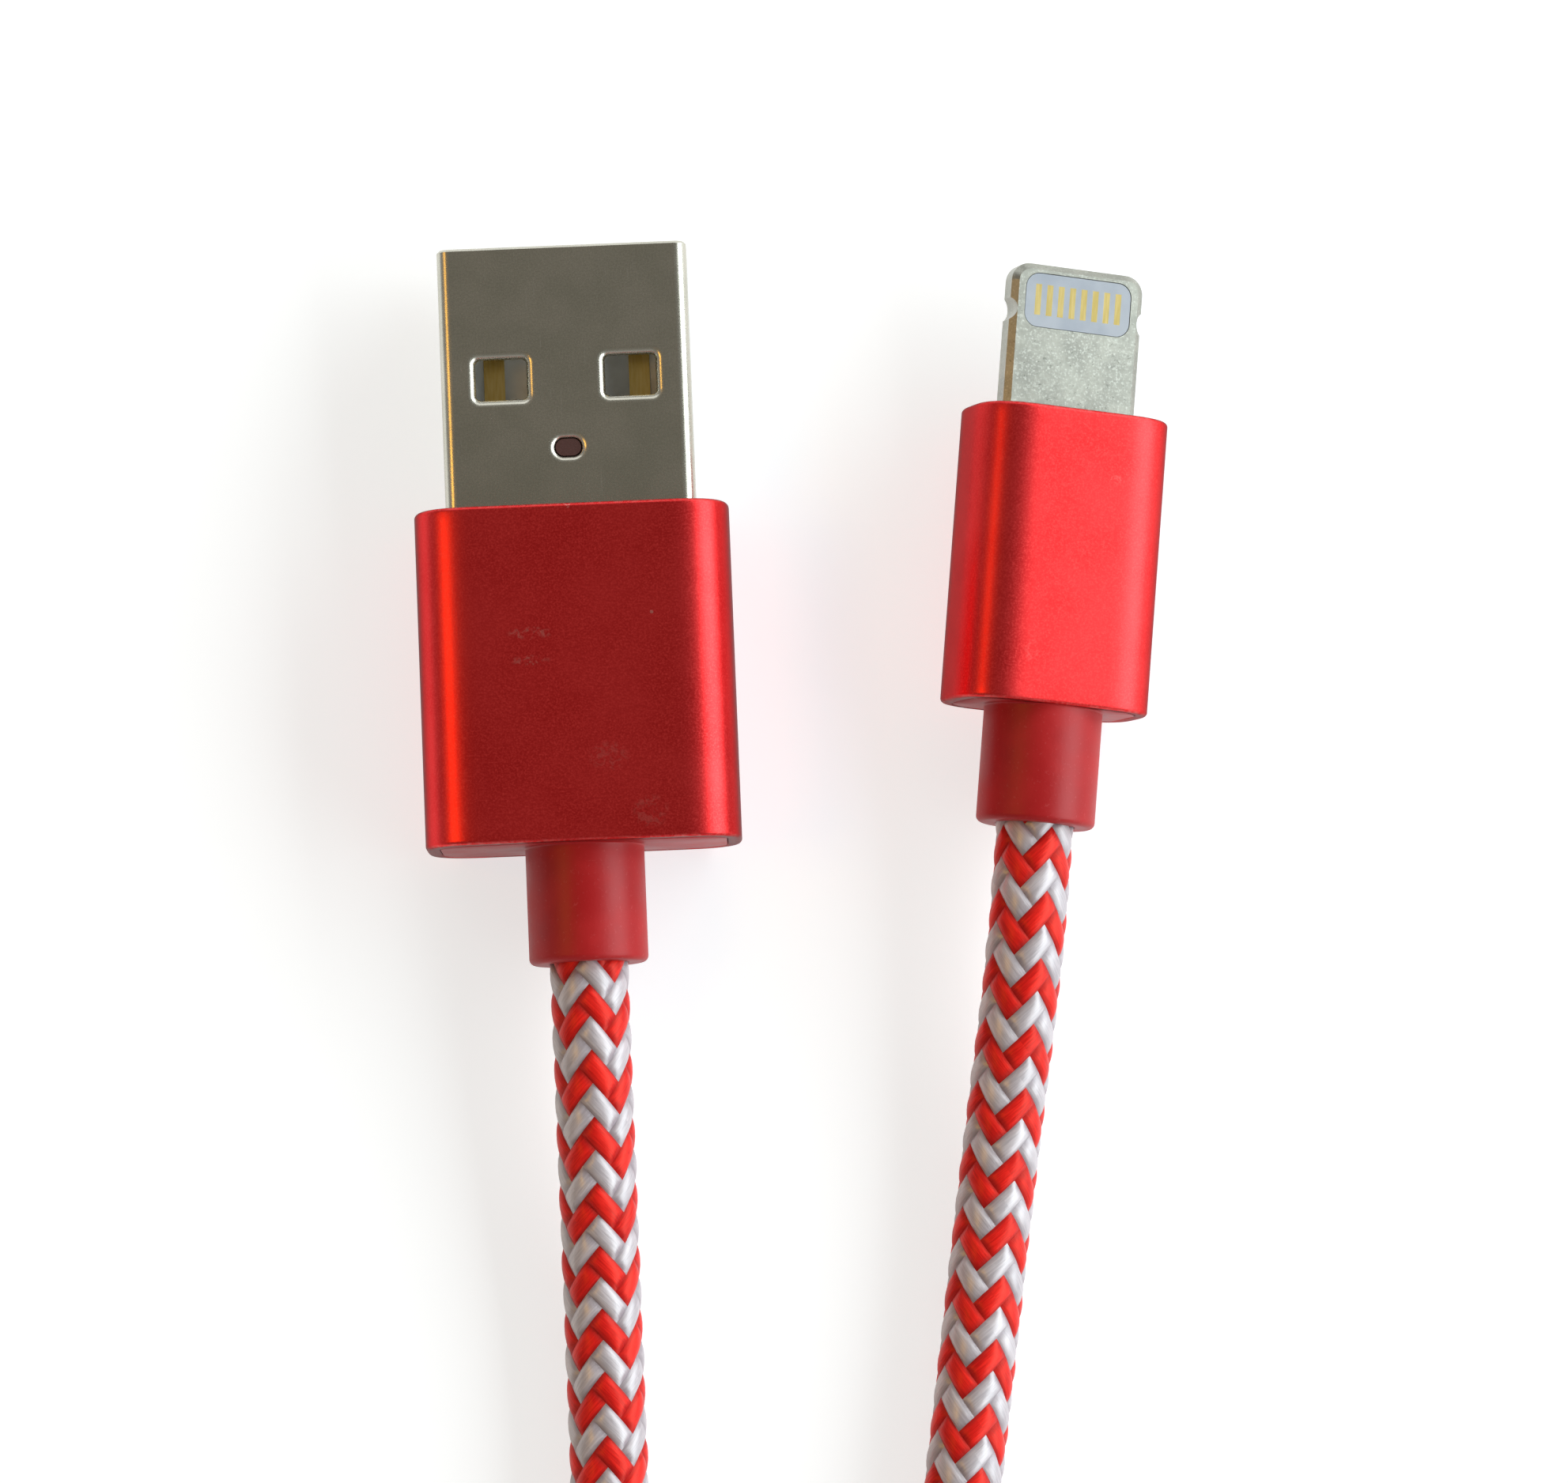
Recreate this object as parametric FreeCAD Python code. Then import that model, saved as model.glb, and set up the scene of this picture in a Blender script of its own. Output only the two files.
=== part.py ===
"""A braided phone charging cable with two plugs, in millimetres.

The cable lies on a table, whose top is z = 0. X is across, and Y points along the plugs towards their tips.
The charger plug is the flat rectangular one at -X, and the device plug is the small tab plug at +X.
The rest of the cable is wound in a tied coil at -Y. The origin is under the middle of the two plugs.

Each plug is drawn in its own frame: Y along the plug with 0 at the front end of its sleeve and the tip at +Y,
X across, and Z up, with the plug's axis at x = z = 0. It is then placed on the table.
"""

import FreeCAD, Part

import math
import os

V = FreeCAD.Vector

# Fits
FIT = 0.03                  # each side, between pieces that are pressed or moulded together

# Making
CUT = 1.0                   # how far a cutting shape reaches past what it cuts
OVERLAP = 0.5               # how far two shapes of one piece run into each other
OVAL_FLAT = 0.002           # straight stretch left at the middle of an oval's round ends

# Cable
CABLE_DIAMETER = 3.8        # over the braid
JACKET_DIAMETER = 2.9       # the plain jacket under the braid
WIRE_DIAMETER = 0.9         # one insulated wire of the four
WIRE_GAP = 0.2              # between the four wires where they leave the jacket
CONDUCTOR_DIAMETER = 0.45
CORD_SIDES = 8              # flats round the cable and its wires, with a round one's section

# Sleeves and strain reliefs, alike on both plugs
SLEEVE_WALL = 0.7
SLEEVE_BEVEL = 0.2
MOULD_RECESS = 0.25         # the inner mould's front, behind the sleeve's front end
RELIEF_DIAMETER = 5.7
RELIEF_LENGTH = 5.6         # behind the sleeve
RELIEF_BEVEL = 0.25
FLANGE_LENGTH = 2.2         # the strain relief's foot inside the sleeve
CRIMP_WALL = 0.3            # at its thinnest, in the middle of each flat
CRIMP_LENGTH = 1.4
CRIMP_SLIT = 0.5
CRIMP_TO_FLANGE = 0.15
CRIMP_ROOM = 0.2            # between the crimp ring's flats and the lower of the two sleeves
JACKET_BARE = 0.6           # jacket that shows between the braid's end and the wires
CHAMBER_HEIGHT = 2.7        # the room for the wires in the inner mould
STRIPPED_LENGTH = 1.5       # bare conductor on its solder pad
STRIPPED_GAP = 0.3          # bare conductor between the insulation and the pad
WIRE_STRAIGHT = 0.4         # where a wire leaves the jacket
SOLDER_LENGTH = 1.2
SOLDER_WIDTH = 0.84
SOLDER_RISE = 0.17          # from the pad to the middle of the solder's round back
SOLDER_UNDER = 0.03         # between a conductor and its pad

# Charger plug
SHELL_WIDTH = 12.0
SHELL_HEIGHT = 4.5
SHELL_SHEET = 0.3
SHELL_CORNER = 0.6
SHELL_LENGTH = 18.75
SHELL_SHOWN = 12.7          # in front of the sleeve
SHELL_LEAD_IN = 0.12
WINDOW_WIDTH = 3.0
WINDOW_LENGTH = 2.5
WINDOW_CORNER = 0.5
WINDOW_SPACING = 6.2        # between the middles of the two windows
WINDOW_FROM_TIP = 5.15      # from the tip to a window's near edge
WINDOW_EDGE = 0.1
LOCK_HOLE_WIDTH = 1.9       # over its dished rim
LOCK_HOLE_LENGTH = 1.5
LOCK_HOLE_DISH = 0.24       # how wide and deep the rim slopes in
LOCK_HOLE_FROM_TIP = 9.8
SEAM_GAP = 0.1
SEAM_DOVETAILS = (3.0, 8.5) # from the tip to the middle of each dovetail of the folded seam
SEAM_DOVETAIL = 1.2         # how far a dovetail reaches sideways
SEAM_NECK = 0.7             # half a dovetail's length along the seam, at its root and at its end
SEAM_TAIL = 1.0
TONGUE_HEIGHT = 1.9
TONGUE_RECESS = 0.45        # behind the shell's tip
TONGUE_BEVEL = 0.3
MOUTH_DEPTH = 9.1           # from the tip to the insulator's block
SNAP_HEIGHT = 0.2           # the insulator's bump that sits in the lock hole
SNAP_MARGIN = 0.1
CONTACT_WIDTH = 1.0
CONTACT_SHEET = 0.25
CONTACT_PROUD = 0.05
CONTACT_HOOK = 0.7          # the contact's front end, bent down into the tongue
CONTACT_NOSE_LENGTH = 0.15  # the slope where the contact bends down
CONTACT_NOSE_DROP = 0.1
CONTACTS = {                # name: place across, and bare length in front of the block
    "power": (3.5, 7.4),
    "data_minus": (1.0, 6.4),
    "data_plus": (-1.0, 6.4),
    "ground": (-3.5, 7.4),
}
TAIL_LENGTH = 2.2           # contact behind the block, where its wire is soldered
CHARGER_SLEEVE_WIDTH = 15.1
CHARGER_SLEEVE_HEIGHT = 7.6
CHARGER_SLEEVE_CORNER = 2.4
CHARGER_SLEEVE_LENGTH = 16.15

# Device plug
DEVICE_SLEEVE_WIDTH = 9.7
DEVICE_SLEEVE_HEIGHT = CABLE_DIAMETER + 2 * (CRIMP_WALL + CRIMP_ROOM + SLEEVE_WALL)
DEVICE_SLEEVE_CORNER = 2.2
DEVICE_SLEEVE_LENGTH = 14.25
TAB_WIDTH = 6.7
TAB_THICKNESS = 1.5
TAB_SHOWN = 7.15            # in front of the sleeve
TAB_TIP_CORNER = 0.9
TAB_BEVEL = 0.3             # all round both faces
TAB_BASE_SIDE = 0.15        # between the tab's foot and the sleeve, each side
TAB_BASE_WIDTH = DEVICE_SLEEVE_WIDTH - 2 * (SLEEVE_WALL + TAB_BASE_SIDE)
TAB_BASE_HEIGHT = 3.2
TAB_BASE_LENGTH = 2.1
TAB_BASE_START = 0.55       # behind the sleeve's front end
TAB_BASE_CORNER = 0.4
DETENT_FROM_TIP = 2.3
DETENT_RADIUS = 0.62
DETENT_DEPTH = 0.3
POCKET_WIDTH = 5.4
POCKET_LENGTH = 2.65
POCKET_CORNER = 0.7
POCKET_FROM_TIP = 0.45
PAD_COUNT = 8
PAD_PITCH = 0.583
PAD_WIDTH = 0.3
PAD_LENGTH = 1.5
PAD_FROM_TIP = 1.0
PAD_RECESS = 0.02           # below the tab's face
CHANNEL_WIDTH = 4.9
CHANNEL_HEIGHT = 0.9
BOARD_THICKNESS = 0.5
BOARD_NECK_WIDTH = 4.5      # inside the tab
BOARD_SIDE = 0.65           # between the board and the sleeve, each side
BOARD_WIDTH = DEVICE_SLEEVE_WIDTH - 2 * (SLEEVE_WALL + BOARD_SIDE)
BOARD_END = 8.2             # behind the sleeve's front end
BOARD_FRONT_MARGIN = 0.35
CHIP_SIZE = (2.2, 2.0, 0.6)
CHIP_PLACE = (-1.3, -4.6)
CHIP_BEVEL = 0.1
COMPONENT_SIZE = (1.0, 0.5, 0.4)
COMPONENT_PLACES = ((1.6, -3.8, 1), (1.6, -5.0, 1), (1.9, -4.2, -1), (-1.9, -4.2, -1))  # x, y and side
BOARD_WIRE_X = {1: 1.0, -1: 2.2}    # on top and underneath

# Places of the two plugs: the front end of the sleeve, the turn seen from above and the roll about the axis
CHARGER_AT = (-10.55, 4.45)
CHARGER_TURN = 2.35
DEVICE_AT = (13.18, 9.13)
DEVICE_TURN = -4.4
DEVICE_ROLL = 17.5

# Coil
COIL_AT = (0.0, -85.0)
COIL_RADIUS = 26.2          # where the cable enters and leaves
COIL_GAP = 0.66             # between one turn and the next
COIL_PITCH = CABLE_DIAMETER + COIL_GAP  # sideways and upwards
HALF_TURNS = 6              # in each of the two layers
COIL_TILT = 1.5             # degrees: the near side lies on its tie
TIE_WIDTH = 8.0
TIE_THICKNESS = 0.9
TIE_GAP = 0.05
TIE_LAP = 11.0              # how far the outer end lies over the strap on top
TIE_CORNER = 2.0            # round corners of the outer end

# The cable's routes between its plugs and its coil. The first and last two points of each route follow
# from the plug and the coil, and these lie between them.
EXIT_RUN = 6.2              # straight out of the strain relief
ENTRY_RUN = 6.8             # straight into the coil
CHARGER_ROUTE = [
    (-9.0, -33.6, 2.05),
    (-8.44, -47.0, 2.0),
    (-12.2, -54.7, 2.05),
    (-19.1, -60.5, 2.3),
    (-23.4, -66.7, 2.7),
]
DEVICE_ROUTE = [
    (9.92, -26.9, 2.1),
    (8.6, -38.4, 2.0),
    (7.6, -47.0, 2.05),
    (11.3, -55.2, 3.0),
    (18.9, -61.6, 5.0),
    (23.1, -67.4, 6.7),
]
ARC_SHARE = 0.45            # of the shorter run beside a corner that its arc takes


def box(x, y, z):
    """A block between two values along each axis."""
    return Part.makeBox(x[1] - x[0], y[1] - y[0], z[1] - z[0], V(x[0], y[0], z[0]))


def rounded_outline(width, height, radius):
    """A closed rectangle with round corners in the XY plane, about the origin."""
    x = width / 2 - radius
    y = height / 2 - radius
    last = V(x + radius, -y, 0)
    edges = []
    for i, (corner_x, corner_y) in enumerate([(x, y), (-x, y), (-x, -y), (x, -y)]):
        angles = [(i + share) * math.pi / 2 for share in (0, 0.5, 1)]
        arc = [V(corner_x + radius * math.cos(a), corner_y + radius * math.sin(a), 0) for a in angles]
        edges.append(Part.LineSegment(last, arc[0]).toShape())
        edges.append(Part.Arc(*arc).toShape())
        last = arc[2]
    return Part.Wire(edges)


def bar(width, height, radius, y):
    """A bar along Y between two values of y, with a rounded rectangle as its section."""
    outline = rounded_outline(width, height, radius)
    outline.rotate(V(0, 0, 0), V(1, 0, 0), 90)
    outline.translate(V(0, y[1], 0))
    return Part.Face(outline).extrude(V(0, y[0] - y[1], 0))


def slab(width, length, radius, middle, z):
    """A plate with round corners seen from above, between two values of z."""
    outline = rounded_outline(width, length, radius)
    outline.translate(V(middle[0], middle[1], z[0]))
    return Part.Face(outline).extrude(V(0, 0, z[1] - z[0]))


def oval(width, length, middle, z):
    """An oval post between two values of z."""
    return slab(width, length, (min(width, length) - OVAL_FLAT) / 2, middle, z)


def round_bar(diameter, y, x=0.0, z=0.0):
    """A cylinder along Y between two values of y."""
    return Part.makeCylinder(diameter / 2, y[1] - y[0], V(x, y[0], z), V(0, 1, 0))


def edges_near(shape, test):
    """The edges of a shape whose middle point passes a test."""
    found = []
    for edge in shape.Edges:
        middle = edge.valueAt((edge.FirstParameter + edge.LastParameter) / 2)
        if test(middle):
            found.append(edge)
    return found


def close_to(value, target):
    return abs(value - target) < 1e-4


def joined(shapes):
    """One shape from several that touch."""
    return shapes[0].multiFuse(shapes[1:]).removeSplitter() if len(shapes) > 1 else shapes[0]


def rounded_route(points, label):
    """A wire of straight runs joined by tangent arcs, each as large as its two runs allow."""
    corners = []
    for before, at, after in zip(points, points[1:], points[2:]):
        back = before - at
        ahead = after - at
        shorter = min(back.Length, ahead.Length)
        reach = ARC_SHARE * shorter
        turn = math.pi - back.getAngle(ahead)
        radius = reach / math.tan(turn / 2)
        back.normalize()
        ahead.normalize()
        start = at + back * reach
        end = at + ahead * reach
        bisector = back + ahead
        bisector.normalize()
        to_centre = math.hypot(radius, reach)
        middle = at + bisector * (to_centre - radius)
        corners.append((start, middle, end, radius))
    edges = []
    last = points[0]
    for start, middle, end, radius in corners:
        edges.append(Part.LineSegment(last, start).toShape())
        edges.append(Part.Arc(start, middle, end).toShape())
        last = end
    edges.append(Part.LineSegment(last, points[-1]).toShape())
    radii = ", ".join(f"{corner[3]:.1f}" for corner in corners)
    print(f"{label}: arc radii {radii} mm")
    return Part.Wire(edges)


def start_plane(wire):
    """The wire's first point, and its direction there."""
    edge = wire.OrderedEdges[0]
    first = wire.OrderedVertexes[0].Point
    forward = edge.valueAt(edge.FirstParameter).distanceToPoint(first) < 1e-6
    parameter = edge.FirstParameter if forward else edge.LastParameter
    direction = edge.tangentAt(parameter)
    return first, direction if forward else direction * -1


def section_radius(diameter):
    """The corner radius of a many-sided section with the area of a circle of this diameter."""
    step = 2 * math.pi / CORD_SIDES
    return diameter / 2 * math.sqrt(2 * math.pi / (CORD_SIDES * math.sin(step)))


def cord_section(point, direction, diameter):
    """The section of the cable or a wire at a point, with a flat underneath."""
    step = 2 * math.pi / CORD_SIDES
    side = direction.cross(V(0, 0, 1))
    side.normalize()
    up = side.cross(direction)
    radius = section_radius(diameter)
    angles = [(i + 0.5) * step for i in range(CORD_SIDES + 1)]
    return Part.makePolygon([point + (side * math.sin(a) - up * math.cos(a)) * radius for a in angles])


def cord_bar(diameter, y, x=0.0, z=0.0):
    """A straight piece of cable or wire along Y between two values of y."""
    section = cord_section(V(x, y[0], z), V(0, 1, 0), diameter)
    return Part.Face(section).extrude(V(0, y[1] - y[0], 0))


def cable_tube(wire, label):
    """The cable along a wire of straight runs and arcs."""
    point, direction = start_plane(wire)
    tube = wire.makePipeShell([cord_section(point, direction, CABLE_DIAMETER)], True, False)
    expected = math.pi * CABLE_DIAMETER**2 / 4 * wire.Length
    print(f"{label}: length {wire.Length:.1f} mm, volume {tube.Volume:.0f} of {expected:.0f} mm3")
    return tube


def sleeve(width, height, corner, length):
    """An aluminium sleeve: an open-ended rounded tube with its end edges broken."""
    outer = bar(width, height, corner, (-length, 0))
    ends = edges_near(outer, lambda p: close_to(p.y, 0) or close_to(p.y, -length))
    outer = outer.makeChamfer(SLEEVE_BEVEL, ends)
    walls = 2 * SLEEVE_WALL
    hollow = bar(width - walls, height - walls, corner - SLEEVE_WALL, (-length - CUT, CUT))
    return outer.cut(hollow)


def sleeve_filling(width, height, corner, y):
    """What fits inside a sleeve between two values of y."""
    inset = 2 * (SLEEVE_WALL + FIT)
    return bar(width - inset, height - inset, corner - SLEEVE_WALL - FIT, y)


def flange_front(length):
    """Where the strain relief's foot begins, behind a sleeve's front end."""
    return -length + FLANGE_LENGTH


def strain_relief(width, height, corner, length):
    """A rubber strain relief: a foot in the sleeve's rear end, and a round neck with the cable's bore."""
    foot = sleeve_filling(width, height, corner, (-length, flange_front(length)))
    end = -length - RELIEF_LENGTH
    neck = round_bar(RELIEF_DIAMETER, (end, -length))
    neck = neck.makeChamfer(RELIEF_BEVEL, edges_near(neck, lambda p: close_to(p.y, end)))
    bore = cord_bar(CABLE_DIAMETER + 2 * FIT, (end - CUT, CUT))
    return joined([foot, neck]).cut(bore)


def crimp_span(length):
    """The two ends of the crimp ring."""
    back = flange_front(length) + CRIMP_TO_FLANGE
    return back, back + CRIMP_LENGTH


def crimp_ring(length):
    """A split metal ring that is crimped on the braid with six flats."""
    span = crimp_span(length)
    bore = section_radius(CABLE_DIAMETER + 2 * FIT)
    ring = six_sided_bar(bore + CRIMP_WALL, span)
    past = (span[0] - CUT, span[1] + CUT)
    ring = ring.cut(cord_bar(CABLE_DIAMETER + 2 * FIT, past))
    slit = box((-CRIMP_SLIT / 2, CRIMP_SLIT / 2), past, (0, CABLE_DIAMETER))
    return ring.cut(slit)


def six_sided_bar(half_width, y):
    """A six-sided bar along Y, half_width from its axis to its flats, two of which lie level."""
    corner = half_width / math.cos(math.pi / 6)
    angles = [i * math.pi / 3 for i in range(7)]
    section = Part.makePolygon([V(corner * math.cos(a), y[0], corner * math.sin(a)) for a in angles])
    return Part.Face(section).extrude(V(0, y[1] - y[0], 0))


def braid_end(length):
    """Where the braid is trimmed, just in front of the crimp ring."""
    return crimp_span(length)[1] + CRIMP_TO_FLANGE


def jacket_end(length):
    """Where the jacket is stripped and the four wires come out."""
    return braid_end(length) + JACKET_BARE


def cable_end(length):
    """The cable inside a plug, from the strain relief's outer end to the stripped jacket."""
    braid = cord_bar(CABLE_DIAMETER, (-length - RELIEF_LENGTH, braid_end(length)))
    jacket = cord_bar(JACKET_DIAMETER, (braid_end(length), jacket_end(length)))
    return joined([braid, jacket])


def plug_wire(length, side, row, pad):
    """One wire of a plug: out of the jacket at (side, row), then to the end of its pad with a bare conductor.

    pad is the point on the conductor's axis at the pad's rear end.
    """
    spacing = WIRE_DIAMETER + WIRE_GAP
    start = V(side * spacing / 2, jacket_end(length), row * spacing / 2)
    end = V(pad.x, pad.y - STRIPPED_GAP, pad.z)
    bend = V(0, WIRE_STRAIGHT, 0)
    line = Part.makePolygon([start, start + bend, end - bend, end])
    insulated = line.makePipeShell([cord_section(start, bend, WIRE_DIAMETER)], True, False, 1)
    bare = cord_bar(CONDUCTOR_DIAMETER, (end.y - WIRE_STRAIGHT / 2, pad.y + STRIPPED_LENGTH), pad.x, pad.z)
    return joined([insulated, bare])


def conductor_height():
    """From a pad's face to the axis of the conductor that is soldered on it."""
    return SOLDER_UNDER + CONDUCTOR_DIAMETER / 2


def solder_joint(pad, side, wire):
    """A loaf of solder over a conductor. side is 1 on top of its pad and -1 underneath."""
    surface = pad.z - side * conductor_height()
    middle = pad.y + STRIPPED_LENGTH / 2
    span = (middle - SOLDER_LENGTH / 2, middle + SOLDER_LENGTH / 2)
    loaf = cord_bar(SOLDER_WIDTH, span, pad.x, surface + side * SOLDER_RISE)
    height = (surface, surface + SOLDER_WIDTH) if side > 0 else (surface - SOLDER_WIDTH, surface)
    room = box((pad.x - SOLDER_WIDTH, pad.x + SOLDER_WIDTH), span, height)
    return loaf.common(room).cut(wire)


def shell_seam():
    """The gap of the folded shell's seam underneath, with its dovetails, as a cutting tool."""
    line = [(0.0, SHELL_SHOWN + CUT)]
    for from_tip in SEAM_DOVETAILS:
        middle = SHELL_SHOWN - from_tip
        line.append((0.0, middle + SEAM_NECK))
        line.append((SEAM_DOVETAIL, middle + SEAM_TAIL))
        line.append((SEAM_DOVETAIL, middle - SEAM_TAIL))
        line.append((0.0, middle - SEAM_NECK))
    line.append((0.0, SHELL_SHOWN - SHELL_LENGTH - CUT))
    path = Part.makePolygon([V(x - SEAM_GAP / 2, y, 0) for x, y in line])
    gap = path.makeOffset2D(SEAM_GAP, 2, True, True)
    gap.translate(V(0, 0, -SHELL_HEIGHT))
    return gap.extrude(V(0, 0, SHELL_HEIGHT / 2 + 2 * SHELL_SHEET))


def lock_hole(inset, z):
    """An oval post at the lock hole, this far inside its outer rim, between two values of z."""
    at = (0, SHELL_SHOWN - LOCK_HOLE_FROM_TIP)
    return oval(LOCK_HOLE_WIDTH - 2 * inset, LOCK_HOLE_LENGTH - 2 * inset, at, z)


def charger_shell():
    """The folded steel shell, with two windows above and below and an oval lock hole above."""
    span = (SHELL_SHOWN - SHELL_LENGTH, SHELL_SHOWN)
    outer = bar(SHELL_WIDTH, SHELL_HEIGHT, SHELL_CORNER, span)
    outer = outer.makeChamfer(SHELL_LEAD_IN, edges_near(outer, lambda p: close_to(p.y, SHELL_SHOWN)))
    inner_width = SHELL_WIDTH - 2 * SHELL_SHEET
    inner_height = SHELL_HEIGHT - 2 * SHELL_SHEET
    past = (span[0] - CUT, span[1] + CUT)
    shell = outer.cut(bar(inner_width, inner_height, SHELL_CORNER - SHELL_SHEET, past))
    window_y = SHELL_SHOWN - WINDOW_FROM_TIP - WINDOW_LENGTH / 2
    for side in (-1, 1):
        at = (side * WINDOW_SPACING / 2, window_y)
        shell = shell.cut(slab(WINDOW_WIDTH, WINDOW_LENGTH, WINDOW_CORNER, at, (-SHELL_HEIGHT, SHELL_HEIGHT)))
    hole_y = SHELL_SHOWN - LOCK_HOLE_FROM_TIP
    shell = shell.cut(lock_hole(LOCK_HOLE_DISH, (0, SHELL_HEIGHT)))

    def on_the_hole(p):
        on_top = close_to(p.z, SHELL_HEIGHT / 2)
        return on_top and abs(p.x) < LOCK_HOLE_WIDTH / 2 and abs(p.y - hole_y) < LOCK_HOLE_LENGTH / 2

    def on_a_window(p):
        on_top = close_to(p.z, SHELL_HEIGHT / 2)
        inside = abs(p.x) < SHELL_WIDTH / 2 - SHELL_CORNER - FIT
        return on_top and inside and abs(p.y - window_y) < WINDOW_LENGTH

    shell = shell.makeChamfer(WINDOW_EDGE, edges_near(shell, on_a_window))
    shell = shell.makeChamfer(LOCK_HOLE_DISH, edges_near(shell, on_the_hole))
    return shell.cut(shell_seam())


def contact_top():
    """The height of the contacts' face in the charger plug."""
    return -SHELL_HEIGHT / 2 + SHELL_SHEET + TONGUE_HEIGHT + CONTACT_PROUD


def block_front():
    return SHELL_SHOWN - MOUTH_DEPTH


def tail_end():
    return SHELL_SHOWN - SHELL_LENGTH - TAIL_LENGTH


def charger_contact(x, length):
    """One gold strip of the charger plug: hooked front end, face on the tongue, tail behind the block."""
    top = contact_top()
    front = block_front() + length
    side = [
        (front, top - CONTACT_HOOK),
        (front, top - CONTACT_NOSE_DROP),
        (front - CONTACT_NOSE_LENGTH, top),
        (tail_end(), top),
        (tail_end(), top - CONTACT_SHEET),
        (front - CONTACT_SHEET, top - CONTACT_SHEET),
        (front - CONTACT_SHEET, top - CONTACT_HOOK),
    ]
    points = [V(x - CONTACT_WIDTH / 2, y, z) for y, z in side]
    return Part.Face(Part.makePolygon(points + points[:1])).extrude(V(CONTACT_WIDTH, 0, 0))


def charger_insulator(contacts):
    """The plastic tongue and the block behind it that fills the shell."""
    inner_width = SHELL_WIDTH - 2 * (SHELL_SHEET + FIT)
    inner_height = SHELL_HEIGHT - 2 * (SHELL_SHEET + FIT)
    block_span = (SHELL_SHOWN - SHELL_LENGTH, block_front())
    block = bar(inner_width, inner_height, SHELL_CORNER - SHELL_SHEET - FIT, block_span)
    floor = -inner_height / 2
    tongue_top = contact_top() - CONTACT_PROUD
    tongue_tip = SHELL_SHOWN - TONGUE_RECESS
    side = [
        (block_front() - OVERLAP, floor),
        (tongue_tip, floor),
        (tongue_tip, tongue_top - TONGUE_BEVEL),
        (tongue_tip - TONGUE_BEVEL, tongue_top),
        (block_front() - OVERLAP, tongue_top),
    ]
    flat_width = inner_width - 2 * (SHELL_CORNER - SHELL_SHEET)
    points = [V(-flat_width / 2, y, z) for y, z in side]
    tongue = Part.Face(Part.makePolygon(points + points[:1])).extrude(V(flat_width, 0, 0))
    snap = lock_hole(LOCK_HOLE_DISH + SNAP_MARGIN, (0, inner_height / 2 + SNAP_HEIGHT))
    insulator = joined([block, tongue, snap])
    for contact in contacts:
        insulator = insulator.cut(contact)
    return insulator


def inner_mould(width, height, corner, length, held, chamber):
    """The hard mould that fills a sleeve round what it holds.

    A chamber, which is half its width, its half height and its front end, leaves the wires free.
    """
    mould = sleeve_filling(width, height, corner, (flange_front(length) + FIT, -MOULD_RECESS))
    half_width, half_height, front = chamber
    span = (jacket_end(length), front)
    mould = mould.cut(box((-half_width, half_width), span, (-half_height, half_height)))
    ring = crimp_span(length)
    ring_half = section_radius(CABLE_DIAMETER + 2 * FIT) + CRIMP_WALL
    mould = mould.cut(six_sided_bar(ring_half + FIT, (ring[0] - CUT, ring[1] + FIT)))
    mould = mould.cut(cord_bar(CABLE_DIAMETER + 2 * FIT, (ring[0], braid_end(length) + FIT)))
    mould = mould.cut(cord_bar(JACKET_DIAMETER + 2 * FIT, (ring[0], front)))
    return mould.cut(held)


def charger_plug():
    """All pieces of the charger plug, in the plug's own frame."""
    length = CHARGER_SLEEVE_LENGTH
    section = (CHARGER_SLEEVE_WIDTH, CHARGER_SLEEVE_HEIGHT, CHARGER_SLEEVE_CORNER, length)
    contacts = {name: charger_contact(x, bare) for name, (x, bare) in CONTACTS.items()}
    axis_z = contact_top() + conductor_height()
    wires = {}
    joints = []
    starts = {"red": ("power", 1, -1), "white": ("data_minus", 1, 1)}
    starts.update({"green": ("data_plus", -1, 1), "black": ("ground", -1, -1)})
    for colour, (contact, side, row) in starts.items():
        pad = V(CONTACTS[contact][0], tail_end(), axis_z)
        wires[colour] = plug_wire(length, side, row, pad)
        joints.append(solder_joint(pad, 1, wires[colour]))
    held = bar(
        SHELL_WIDTH + 2 * FIT,
        SHELL_HEIGHT + 2 * FIT,
        SHELL_CORNER + FIT,
        (SHELL_SHOWN - SHELL_LENGTH, CUT),
    )
    chamber = (CONTACTS["power"][0] + CONTACT_WIDTH, CHAMBER_HEIGHT / 2, SHELL_SHOWN - SHELL_LENGTH)
    pieces = {
        "shell": charger_shell(),
        "insulator": charger_insulator(list(contacts.values())),
        "solder_joints": Part.makeCompound(joints),
        "cable_end": cable_end(length),
        "crimp_ring": crimp_ring(length),
        "inner_mould": inner_mould(*section, held, chamber),
        "sleeve": sleeve(*section),
        "strain_relief": strain_relief(*section),
    }
    for name, contact in contacts.items():
        pieces["contact_" + name] = contact
    for colour, wire in wires.items():
        pieces["wire_" + colour] = wire
    return pieces


def tab_back():
    """The rear end of the tab, inside the plug."""
    return -TAB_BASE_START - TAB_BASE_LENGTH


def tab_base():
    """The wider foot that holds the tab in the mould."""
    return bar(TAB_BASE_WIDTH, TAB_BASE_HEIGHT, TAB_BASE_CORNER, (tab_back(), -TAB_BASE_START))


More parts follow.
